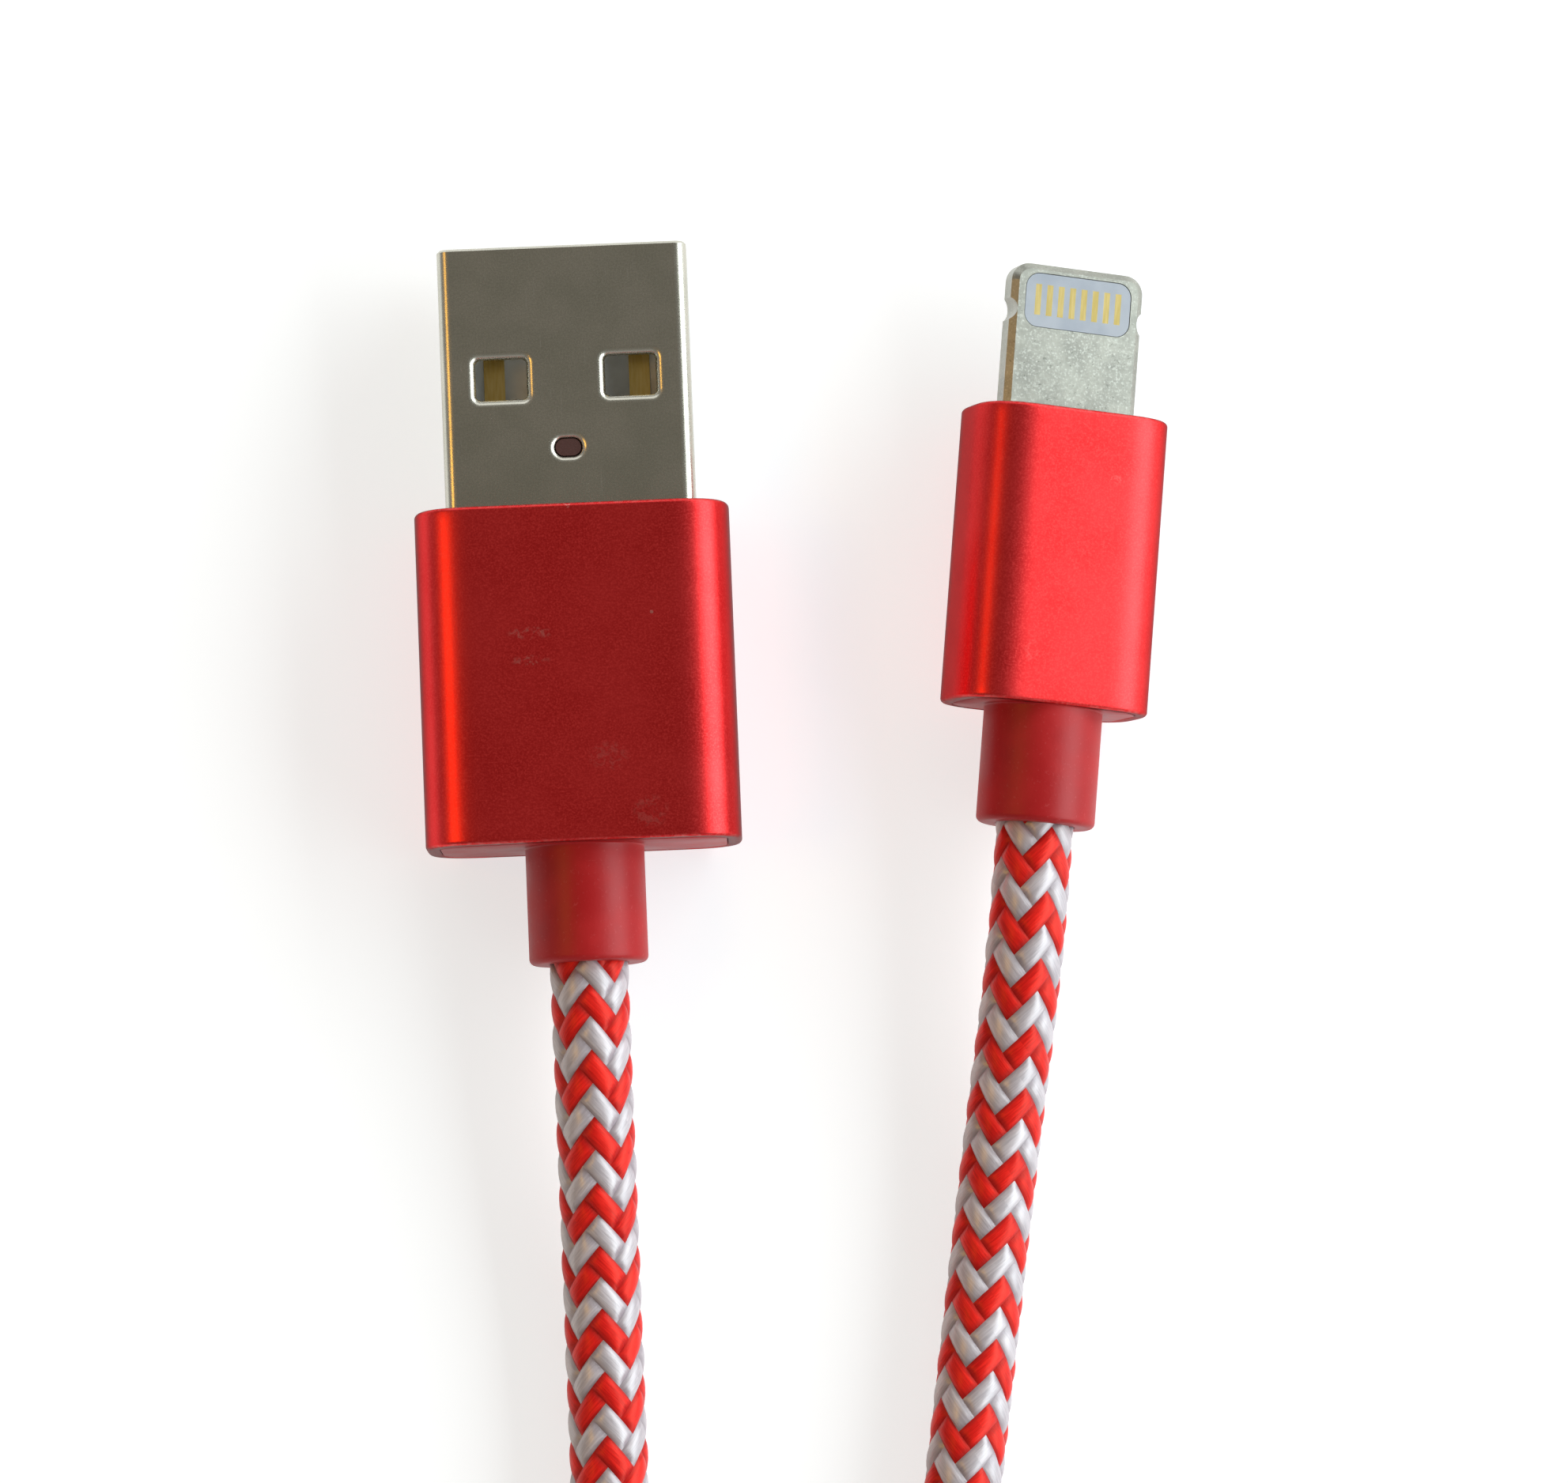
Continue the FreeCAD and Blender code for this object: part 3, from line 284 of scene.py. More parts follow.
class Paint:
    """A material with one principled shader, and short ways to build its nodes.

    at is the matrix of the frame that the patterns lie in, and sockets sets the shader's own values by name.
    """

    def __init__(self, name, at=None, **sockets):
        self.material = bpy.data.materials.new(name)
        self.material.use_nodes = True
        self.tree = self.material.node_tree
        self.shader = self.tree.nodes["Principled BSDF"]
        for socket, value in sockets.items():
            self.set(socket.replace("_", " "), value)
        self.at = at or Matrix.Identity(4)
        self.place = None

    def set(self, socket, value):
        """Fills one of the shader's own inputs."""
        target = next(s for s in self.shader.inputs if s.name.lower() == socket.lower())
        fill(self.tree, target, value)

    def node(self, kind, inputs=(), **settings):
        """A node in this material."""
        return new_node(self.tree, kind, inputs, **settings)

    def millimetres(self):
        """Where a point lies in the pattern's frame, in millimetres."""
        if self.place is None:
            inputs = {
                "Vector": self.node("TexCoord").outputs["Object"],
                "Location": self.at.translation * MM,
                "Rotation": self.at.to_euler("XYZ"),
                "Scale": (MM, MM, MM),
            }
            self.place = self.node("Mapping", inputs, vector_type="TEXTURE").outputs["Vector"]
        return self.place

    def stretched(self, source, scale):
        """A point with each of its coordinates scaled."""
        return self.node("VectorMath", {0: source, 1: scale}, operation="MULTIPLY").outputs["Vector"]

    def coordinate(self, source, axis):
        """One of a point's coordinates."""
        return self.node("SeparateXYZ", {0: source}).outputs[axis]

    def noise(self, size, source=None, detail=2.0, rough=0.5, warp=0.0):
        """Noise between 0 and 1, with blobs of about this size in millimetres."""
        inputs = {
            "Vector": source or self.millimetres(),
            "Scale": 1 / size,
            "Detail": detail,
            "Roughness": rough,
            "Distortion": warp,
        }
        return self.node("TexNoise", inputs).outputs["Fac"]

    def ranged(self, value, low, high, to_low=0.0, to_high=1.0):
        """A value from one range mapped smoothly to another."""
        inputs = {"Value": value, "From Min": low, "From Max": high, "To Min": to_low, "To Max": to_high}
        return self.node("MapRange", inputs, interpolation_type="SMOOTHSTEP").outputs["Result"]

    def maths(self, operation, first, second=0.0):
        """A sum, a product or the like."""
        return self.node("Math", {0: first, 1: second}, operation=operation).outputs["Value"]

    def off(self, value, middle):
        """How far a value is from another."""
        return self.maths("ABSOLUTE", self.maths("SUBTRACT", value, middle))

    def mark(self, x, y, width, length):
        """1 in a soft oval spot at this place on a plug, seen from above, and 0 outside it."""
        inputs = {
            "Vector": self.millimetres(),
            "Location": (x, y, 0),
            "Scale": (width / 2, length / 2, MARK_DEPTH),
        }
        inside = self.node("Mapping", inputs, vector_type="TEXTURE").outputs["Vector"]
        reach = self.node("VectorMath", {0: inside}, operation="LENGTH").outputs["Value"]
        return self.ranged(reach, MARK_CORE, 1.0, 1.0, 0.0)

    def mixed(self, share, first, second):
        """A colour between two."""
        return self.node("Mix", {0: share, 6: first, 7: second}, data_type="RGBA").outputs[2]

    def clouded(self, noise, dark, light, low=0.3, high=0.7):
        """A colour that goes from dark to light as a noise goes from low to high."""
        return self.mixed(self.ranged(noise, low, high), dark, light)

    def roughen(self, noise, smooth, dull, low=0.2, high=0.8):
        """Makes the roughness go from smooth to dull as a noise goes from low to high."""
        self.set("Roughness", self.ranged(noise, low, high, smooth, dull))

    def bump(self, height, distance, strength=1.0, under=None):
        """Bumps of this height in millimetres, over any earlier ones."""
        inputs = {"Height": height, "Distance": distance * MM, "Strength": strength}
        if under is not None:
            inputs["Normal"] = under
        return self.node("Bump", inputs).outputs["Normal"]


def anodised(at, length, marks, rough):
    """Bead-blasted aluminium, dyed red and anodised, with rubbed end edges and a few marks of wear."""
    deep_red = (0.75, 0.030, 0.032)
    clear_red = (0.83, 0.042, 0.044)
    glinting = (0.89, 0.067, 0.067)
    scuffed = (0.86, 0.30, 0.28)
    rubbed = (0.88, 0.42, 0.38)
    spread = 0.05
    paint = Paint("anodised_sleeve", at, Metallic=1.0, Specular_Tint=(0.02, 0.5, 0.5))
    grain = paint.noise(0.09, detail=3.0, rough=0.7)
    cloud = paint.noise(3.5)
    red = paint.clouded(cloud, deep_red, clear_red)
    red = paint.clouded(grain, red, glinting, 0.4, 0.75)
    streaks = paint.noise(0.35, detail=4.0, rough=0.65, warp=1.0)
    worn = paint.ranged(streaks, 0.46, 0.60)
    for *oval, pale in marks:
        spot = paint.maths("MULTIPLY", paint.mark(*oval), pale)
        red = paint.mixed(paint.maths("MULTIPLY", spot, worn), red, scuffed)
    off_middle = paint.off(paint.coordinate(paint.millimetres(), "Y"), -length / 2)
    at_edge = paint.ranged(off_middle, length / 2 - RUBBED_EDGE, length / 2 - WORN_EDGE)
    rubbing = paint.maths("MULTIPLY", at_edge, paint.ranged(streaks, 0.40, 0.66, 0.0, 0.28))
    paint.set("Base Color", paint.mixed(rubbing, red, rubbed))
    paint.roughen(grain, rough - spread, rough + spread)
    paint.set("Normal", paint.bump(grain, 0.004, strength=0.6))
    return paint.material


def rubber(at):
    """Soft red rubber, a little dusty."""
    deep_red = (0.38, 0.007, 0.009)
    clear_red = (0.46, 0.011, 0.013)
    dusty = (0.52, 0.08, 0.08)
    paint = Paint("red_rubber", at, Specular_IOR_Level=0.35)
    cloud = paint.noise(2.2, detail=4.0)
    speck = paint.noise(0.16)
    red = paint.clouded(cloud, deep_red, clear_red, high=0.75)
    dust = paint.maths("MULTIPLY", paint.ranged(speck, 0.62, 0.74), 0.3)
    paint.set("Base Color", paint.mixed(dust, red, dusty))
    paint.roughen(cloud, 0.40, 0.52)
    dents = paint.bump(cloud, 0.05, strength=0.3)
    paint.set("Normal", paint.bump(speck, 0.008, strength=0.5, under=dents))
    return paint.material


def plated_steel(at):
    """Nickel-plated sheet steel, fine-grained and faintly scratched."""
    dark = (0.58, 0.57, 0.49)
    light = (0.65, 0.63, 0.55)
    scratched = (0.78, 0.77, 0.72)
    paint = Paint("shell_steel", at, Metallic=1.0)
    drawn = paint.noise(0.12, paint.stretched(paint.millimetres(), (1.0, 0.06, 1.0)), detail=3.0)
    grain = paint.noise(0.07)
    cloud = paint.noise(2.5, detail=3.0)
    grey = paint.clouded(cloud, dark, light)
    scratch = paint.maths("MULTIPLY", paint.ranged(drawn, 0.66, 0.74), 0.5)
    paint.set("Base Color", paint.mixed(scratch, grey, scratched))
    paint.roughen(grain, 0.24, 0.31, 0.25, 0.75)
    paint.set("Normal", paint.bump(grain, 0.001, strength=0.5))
    return paint.material


def plated_tab(at):
    """The tab's dull nickel, with small dark spots from use."""
    dark = (0.34, 0.345, 0.305)
    light = (0.44, 0.445, 0.39)
    glinting = (0.55, 0.565, 0.51)
    spotted = (0.22, 0.23, 0.20)
    paint = Paint("tab_metal", at, Metallic=1.0)
    cloud = paint.noise(1.2, detail=4.0, rough=0.6)
    grain = paint.noise(0.10)
    grey = paint.clouded(cloud, dark, light)
    grey = paint.clouded(grain, grey, glinting, 0.5, 0.8)
    spots = paint.noise(0.22, detail=3.0, rough=0.6)
    spot = paint.maths("MULTIPLY", paint.ranged(spots, 0.62, 0.70), 0.6)
    paint.set("Base Color", paint.mixed(spot, grey, spotted))
    paint.roughen(grain, 0.28, 0.38, 0.25, 0.75)
    paint.set("Normal", paint.bump(grain, 0.003, strength=0.6))
    return paint.material


def gold(at, dark, light):
    """Gold plating on stamped contacts."""
    paint = Paint("gold_contact", at, Metallic=1.0)
    drawn = paint.noise(0.10, paint.stretched(paint.millimetres(), (1.0, 0.1, 1.0)), detail=3.0)
    paint.set("Base Color", paint.clouded(drawn, dark, light))
    paint.roughen(drawn, 0.29, 0.35)
    return paint.material


def plastic(name, at, shaded_spots=()):
    """Moulded plastic: two close shades in soft clouds, and a finely sparked surface.

    Each shaded spot is an oval of painted shade, like the marks on a sleeve, with its colour.
    """
    dark, light, rough = PLASTICS[name]
    spread = 0.06
    paint = Paint(name, at)
    cloud = paint.noise(1.5, detail=3.0)
    spark = paint.noise(0.08)
    shade = paint.clouded(cloud, dark, light)
    # Spots of painted shade, darker where the plastic lies in the dark under an opening
    for *oval, colour in shaded_spots:
        shade = paint.mixed(paint.mark(*oval), shade, colour)
    paint.set("Base Color", shade)
    paint.roughen(spark, rough - spread, rough + spread)
    paint.set("Normal", paint.bump(spark, 0.003, strength=0.5))
    return paint.material


def bare_metal(name, at):
    """Unplated metal with a little tarnish."""
    dark, light = METALS[name]
    paint = Paint(name, at, Metallic=1.0)
    cloud = paint.noise(0.7, detail=4.0)
    paint.set("Base Color", paint.clouded(cloud, dark, light))
    paint.roughen(cloud, 0.30, 0.45)
    return paint.material


def yarn(name):
    """Satin polyester yarn, with painted shade at the sides and the ends of each stretch that is seen.

    The map counts cells along the strand, two seen and two hidden, and strands across.
    """
    dark, light, deep, gloss, tint = YARNS[name]
    shading = 0.62
    paint = Paint(
        name,
        IOR=1.85,
        Specular_IOR_Level=gloss,
        Specular_Tint=tint,
        Anisotropic=0.7,
        Anisotropic_Rotation=0.25,
        Sheen_Weight=0.10,
        Sheen_Roughness=0.4,
    )
    strand = paint.node("UVMap", uv_map="strand").outputs["UV"]
    threads = paint.noise(1.0, paint.stretched(strand, (0.9, 13.0, 1.0)), detail=3.0, rough=0.6)
    cloud = paint.noise(1.0, paint.stretched(strand, (0.6, 1.0, 1.0)))
    blend = paint.maths("ADD", paint.maths("MULTIPLY", threads, 0.6), paint.maths("MULTIPLY", cloud, 0.4))
    colour = paint.clouded(blend, dark, light, 0.35, 0.65)
    across = paint.maths("FRACT", paint.coordinate(strand, "Y"))
    along = paint.maths("FRACT", paint.maths("MULTIPLY", paint.coordinate(strand, "X"), 0.25))
    at_side = paint.ranged(paint.off(across, 0.5), 0.30, 0.50)
    at_end = paint.ranged(paint.off(along, 0.25), 0.15, 0.25)
    # Painted shade where each strand goes under its neighbours
    shaded = paint.maths("MULTIPLY", paint.maths("MAXIMUM", at_side, at_end), shading)
    paint.set("Base Color", paint.mixed(shaded, colour, deep))
    paint.roughen(threads, 0.33, 0.45)
    paint.set("Normal", paint.bump(threads, 0.022, strength=0.7))
    paint.set("Tangent", paint.node("Tangent", direction_type="UV_MAP", uv_map="strand").outputs["Tangent"])
    return paint.material


def webbing():
    """The tie's black woven tape with its short loops."""
    dark = (0.010, 0.010, 0.012)
    light = (0.055, 0.055, 0.062)
    paint = Paint("tie_fabric", Sheen_Weight=0.4, Sheen_Roughness=0.5)
    loops = paint.noise(0.16, detail=3.0, rough=0.7, warp=0.6)
    cloud = paint.noise(1.6)
    paint.set("Base Color", paint.clouded(loops, dark, light, high=0.75))
    paint.roughen(cloud, 0.75, 0.92)
    paint.set("Normal", paint.bump(loops, 0.10, strength=0.9))
    return paint.material


# Meshes

def new_piece(name, vertices, faces, materials):
    """A smooth mesh piece from vertices in millimetres."""
    mesh = bpy.data.meshes.new(name)
    mesh.from_pydata([Vector(v) * MM for v in vertices], [], faces)
    for material in materials:
        mesh.materials.append(material)
    mesh.polygons.foreach_set("use_smooth", [True] * len(mesh.polygons))
    piece = bpy.data.objects.new(name, mesh)
    scene.collection.objects.link(piece)
    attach(piece, "root")
    return piece


def rounded_rectangle(width, height, reach, y, steps=ROUND_STEPS, power=2.0):
    """A ring of points round a rectangle across the plug, at a place along it.

    reach is how far its corners reach along the sides. They are round, or bend in more gently with a power
    over 2.
    """
    ring = []
    for sign_x, sign_z, backwards in ((1, 1, False), (-1, 1, True), (-1, -1, False), (1, -1, True)):
        for i in range(steps + 1):
            angle = math.pi / 2 * ((steps - i) if backwards else i) / steps
            x = width / 2 - reach + reach * max(math.cos(angle), 0.0) ** (2 / power)
            z = height / 2 - reach + reach * max(math.sin(angle), 0.0) ** (2 / power)
            ring.append((sign_x * x, y, sign_z * z))
    return ring


def circle(radius, y):
    """A ring of as many points, whose quarters match a rounded rectangle's."""
    count = 4 * (ROUND_STEPS + 1)
    angles = [2 * math.pi * (j + 0.5) / count for j in range(count)]
    return [(radius * math.cos(a), y, radius * math.sin(a)) for a in angles]


def lofted(rings):
    """Vertices and faces of a closed skin over rings, which go on from the last to the first."""
    count = len(rings[0])
    vertices = [point for ring in rings for point in ring]
    faces = []
    for i in range(len(rings)):
        below = i * count
        above = (i + 1) % len(rings) * count
        for j in range(count):
            k = (j + 1) % count
            faces.append((below + j, above + j, above + k, below + k))
    return vertices, faces


def right_angle(steps):
    """Angles from 0 to 90 degrees in equal steps."""
    return [math.pi / 2 * i / steps for i in range(steps + 1)]


def quarter_round(radius, steps):
    """A rounded edge from an end face to a side: (inset from the side, distance from the end) pairs."""
    return [(radius * (1 - math.sin(a)), radius * (1 - math.cos(a))) for a in right_angle(steps)]


def eased(share):
    """A share from 0 to 1 that starts and ends gently."""
    return 0.5 - 0.5 * math.cos(math.pi * share)


def weighted(piece):
    """Keeps flat faces flat beside their rounded edges."""
    modifier = piece.modifiers.new("weighted", "WEIGHTED_NORMAL")
    modifier.keep_sharp = True


def own_size(node, at):
    """The lowest and highest corner of a node in a plug's own frame, in millimetres."""
    back = at.inverted()
    points = np.array([back @ (v.co / MM) for v in nodes[node].data.vertices])
    return points.min(0), points.max(0)


def make_sleeve(prefix, at, corner, paint):
    """A plug's sleeve: an open rounded tube with soft outer end edges."""
    low, high = own_size(prefix + "sleeve", at)
    width, length, height = high - low
    back = low[1]
    front = high[1]

    def ring(inset, y):
        reach = (corner - inset) * SOFT_REACH
        sides = (width - 2 * inset, height - 2 * inset)
        return rounded_rectangle(*sides, reach, y, SLEEVE_CORNER_STEPS, SOFT_POWER)

    edge = quarter_round(SLEEVE_EDGE, SLEEVE_EDGE_STEPS)
    lip = SLEEVE_INNER_EDGE
    rings = [ring(inset, back + off_end) for inset, off_end in edge]
    rings += [ring(0, back + share * length) for share in SLEEVE_RINGS]
    rings += [ring(inset, front - off_end) for inset, off_end in reversed(edge)]
    rings += [ring(SLEEVE_WALL - lip, front), ring(SLEEVE_WALL, front - lip)]
    rings += [ring(SLEEVE_WALL, back + lip), ring(SLEEVE_WALL - lip, back)]
    vertices, faces = lofted(rings)
    piece = new_piece(prefix + "sleeve_finish", placed(vertices, at), faces, [paint])
    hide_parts(prefix + "sleeve")
    weighted(piece)


def make_relief(prefix, at, corner, paint):
    """The strain relief: a foot that fills the sleeve's rear end, and a round neck with soft edges."""
    low, high = own_size(prefix + "strain_relief", at)
    width, _, height = high - low
    end = low[1]
    foot = end + RELIEF_LENGTH
    front = high[1]
    outer = RELIEF_DIAMETER / 2
    bore = CABLE_DIAMETER / 2 - RELIEF_GRIP
    lip = quarter_round(RELIEF_LIP, RELIEF_LIP_STEPS)
    edge = quarter_round(RELIEF_EDGE, RELIEF_EDGE_STEPS)
    root = quarter_round(RELIEF_ROOT, RELIEF_ROOT_STEPS)
    # The lip and the root run from a side to an end, so the two parts of their pairs change places
    rings = [circle(bore, front)]
    rings += [circle(bore + inset, end + off_end) for off_end, inset in lip]
    rings += [circle(outer - inset, end + off_end) for inset, off_end in edge]
    rings += [circle(outer, end + share * RELIEF_LENGTH) for share in RELIEF_RINGS]
    rings += [circle(outer + inset, foot - off_end) for off_end, inset in root]
    rings += [rounded_rectangle(width, height, corner - SLEEVE_WALL, y) for y in (foot, front)]
    vertices, faces = lofted(rings)
    piece = new_piece(prefix + "strain_relief_moulding", placed(vertices, at), faces, [paint])
    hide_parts(prefix + "strain_relief")
    weighted(piece)


def rim(place, size, corner, bend, side):
    """A skin over the shell's bent edge round an opening, closed in the sheet, above (1) or below (-1)."""
    wide, deep = bend
    profile = [(wide * math.sin(a), deep * (1 - math.cos(a))) for a in right_angle(RIM_STEPS)]
    profile += [(wide - RIM_TURN[0], deep + RIM_TURN[1]), RIM_BACK]
    rings = []
    for inset, drop in profile:
        ring = rounded_rectangle(size[0] - 2 * inset, size[1] - 2 * inset, corner - inset, 0)
        height = side * (SHELL_HEIGHT / 2 - drop)
        rings.append([(place[0] + x, place[1] + y, height) for x, _, y in ring])
    return lofted(rings[::-side])


def make_rims(at, paint):
    """The edges where the shell's sheet bends in round its four windows and its lock hole."""
    across, along = WINDOW_PLACE
    skins = []
    for x in (-across, across):
        for side in (1, -1):
            skins.append(rim((x, along), WINDOW_SIZE, WINDOW_CORNER, WINDOW_BEND, side))
    skins.append(rim(LOCK_HOLE_PLACE, LOCK_HOLE_SIZE, LOCK_HOLE_CORNER, LOCK_HOLE_BEND, 1))
    vertices = []
    faces = []
    for points, skin in skins:
        faces += [tuple(len(vertices) + corner for corner in face) for face in skin]
        vertices += points
    piece = new_piece("charger_plug_shell_rims", placed(vertices, at), faces, [paint])
    piece.data.set_sharp_from_angle(angle=math.radians(RIM_SHARP_ANGLE))
    weighted(piece)


def tie_path():
    """The strap's middle line from its start to its tip, across the bundle and up in the coil's frame."""
    radius = TIE_ROOM + TIE_THICKNESS / 2
    lap_radius = radius + TIE_THICKNESS
    high = COIL_LOW + COIL_PITCH
    path = [(TIE_OUTER - share * (TIE_OUTER - TIE_INNER), high + radius) for share in TIE_START]
    bends = [
        (TIE_INNER, high, 90, radius),
        (TIE_INNER, COIL_LOW, 180, radius),
        (TIE_OUTER, COIL_LOW, 270, radius),
        (TIE_OUTER, high, 360, lap_radius),
    ]
    for middle_y, middle_z, start, last_radius in bends:
        for i in range(TIE_BEND_STEPS + 1):
            share = i / TIE_BEND_STEPS
            angle = math.radians(start + 90 * share)
            reach = radius + (last_radius - radius) * eased(share)
            path.append((middle_y + reach * math.cos(angle), middle_z + reach * math.sin(angle)))
    for i in range(1, TIE_LAP_STEPS + 1):
        path.append((TIE_OUTER - TIE_LAP * i / TIE_LAP_STEPS, high + lap_radius))
    return np.array(path)


def make_tie(paint):
    """The tie: one strap that goes round the bundle and laps over its own start on top."""
    path = tie_path()
    ahead = np.gradient(path, axis=0)
    ahead /= np.linalg.norm(ahead, axis=1)[:, None]
    steps = np.linalg.norm(np.diff(path, axis=0), axis=1)
    to_tip = np.minimum(np.r_[np.cumsum(steps[::-1])[::-1], 0.0], TIE_CORNER)
    rings = []
    for (y, z), (go_y, go_z), left in zip(path, ahead, to_tip):
        narrowing = TIE_CORNER - math.sqrt(TIE_CORNER**2 - (TIE_CORNER - left) ** 2)
        section = rounded_rectangle(TIE_WIDTH - 2 * narrowing, TIE_THICKNESS, TIE_EDGE, 0, TIE_EDGE_STEPS)
        rings.append([(x, y + go_z * height, z - go_y * height) for x, _, height in section])
    vertices, faces = lofted(rings)
    count = len(rings[0])
    last = len(vertices) - count
    faces = faces[:-count]
    faces.append(tuple(range(count)))
    faces.append(tuple(reversed(range(last, last + count))))
    piece = new_piece("cable_tie_strap", placed(vertices, coil), faces, [paint])
    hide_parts("cable_tie")
    weighted(piece)


# The cable

def half_turn(x, ahead, side, height):
    """Control points of half a circle between two places on the coil's middle line."""
    step = math.pi / POINTS_PER_HALF_TURN
    reach = abs(ahead - x) / 2 / math.cos(step / 2)
    middle = (x + ahead) / 2
    way = 1 if ahead > x else -1
    points = []
    for i in range(POINTS_PER_HALF_TURN):
        angle = (i + 0.5) * step
        across = middle - way * reach * math.cos(angle)
        points.append(Vector((across, side * reach * math.sin(angle), height)))
    return points


def coil_points():
    """The coil's control points, in its own frame: in on the table, up, and out on the upper layer."""
    step = COIL_PITCH / 2
    inner = COIL_RADIUS - HALF_TURNS * step
    points = []
    x = -COIL_RADIUS
    for i in range(HALF_TURNS):
        side = -1 if i % 2 == 0 else 1
        ahead = x - side * 2 * (COIL_RADIUS - step / 2 - i * step)
        points += half_turn(x, ahead, side, COIL_LOW)
        x = ahead
    climb = half_turn(x, -x, -1, COIL_LOW)
    for i, point in enumerate(climb):
        share = (i + 0.5) / POINTS_PER_HALF_TURN
        point.y *= 1 - step / 2 / inner * math.sin(math.pi * share)
        point.z += COIL_PITCH * eased(share)
    points += climb
    x = -x
    for i in range(HALF_TURNS):
        side = 1 if i % 2 == 0 else -1
        ahead = x - side * 2 * (inner + step / 2 + i * step)
        points += half_turn(x, ahead, side, COIL_LOW + COIL_PITCH)
        x = ahead
    return points


def plug_end(plug, sleeve_length):
    """The cord's first control points: inside the strain relief, at its end, and straight out of it."""
    back = -sleeve_length - RELIEF_LENGTH
    return placed([(0, y, 0) for y in (back + INSIDE_RELIEF, back, back - EXIT_RUN)], plug)


def coil_end(x, height):
    """The cord's control points just outside the coil."""
    return placed([(x, y, height) for y in (CABLE_DIAMETER + ENTRY_RUN, CABLE_DIAMETER)], coil)


def cord_points():
    """All control points of the cord, from the charger plug through the coil to the device plug."""
    points = plug_end(charger, CHARGER_SLEEVE_LENGTH)
    points += CHARGER_ROUTE
    points += coil_end(-COIL_RADIUS, COIL_LOW)
    points += placed(coil_points(), coil)
    points += reversed(coil_end(COIL_RADIUS, COIL_LOW + COIL_PITCH))
    points += reversed(DEVICE_ROUTE)
    points += reversed(plug_end(device, DEVICE_SLEEVE_LENGTH))
    return points


def smooth_line(points):
    """Points on the smooth spline that has these control points, in millimetres."""
    curve = bpy.data.curves.new("route", "CURVE")
    curve.dimensions = "3D"
    curve.resolution_u = SPLINE_STEPS
    spline = curve.splines.new("NURBS")
    spline.points.add(len(points) - 1)
    for place, point in zip(spline.points, points):
        place.co = (*point, 1.0)
    spline.order_u = 3
    spline.use_endpoint_u = True
    holder = bpy.data.objects.new("route", curve)
    mesh = bpy.data.meshes.new_from_object(holder)
    line = np.array([v.co for v in mesh.vertices], float)
    bpy.data.objects.remove(holder)
    bpy.data.curves.remove(curve)
    bpy.data.meshes.remove(mesh)
    return line


class Line:
    """A smooth line with a frame that doesn't twist: place, side and up at any distance along it."""

    def __init__(self, points):
        steps = np.linalg.norm(np.diff(points, axis=0), axis=1)
        points = points[np.r_[True, steps > TINY]]
        self.points = points
        self.along = np.r_[0.0, np.cumsum(steps[steps > TINY])]
        self.length = self.along[-1]
        ahead = np.gradient(points, self.along, axis=0)
        self.ahead = ahead / np.linalg.norm(ahead, axis=1)[:, None]
        up = np.array([0.0, 0.0, 1.0])
        ups = []
        for direction in self.ahead:
            up = up - direction * (up @ direction)
            up = up / np.linalg.norm(up)
            ups.append(up)
        self.up = np.array(ups)
        self.side = np.cross(self.up, self.ahead)

    def at(self, distance):
        """Arrays of place, side and up at these distances."""
        found = []
        for values in (self.points, self.side, self.up):
            columns = [np.interp(distance, self.along, values[:, k]) for k in range(3)]
            found.append(np.stack(columns, axis=1))
        return found

    def end_turn(self):
        """How far the frame has turned at the end, in degrees, against one that stands upright."""
        side = np.cross([0.0, 0.0, 1.0], self.ahead[-1])
        return math.degrees(math.atan2(side @ self.up[-1], side @ self.side[-1]))


def arch(share, level, steep):
    """The height from 0 to 1 of an arch over shares from 0 to 1."""
    return np.clip(1 - np.abs(2 * share - 1) ** level, 0, 1) ** steep


def scattered(turn, row):
    """A value from 0 to 1 for each turn and row that looks random and is always the same."""
    number = turn * 7.13 + row * 3.77
    return np.modf(np.abs(np.sin(number * 12.9898)) * 43758.5453)[0]


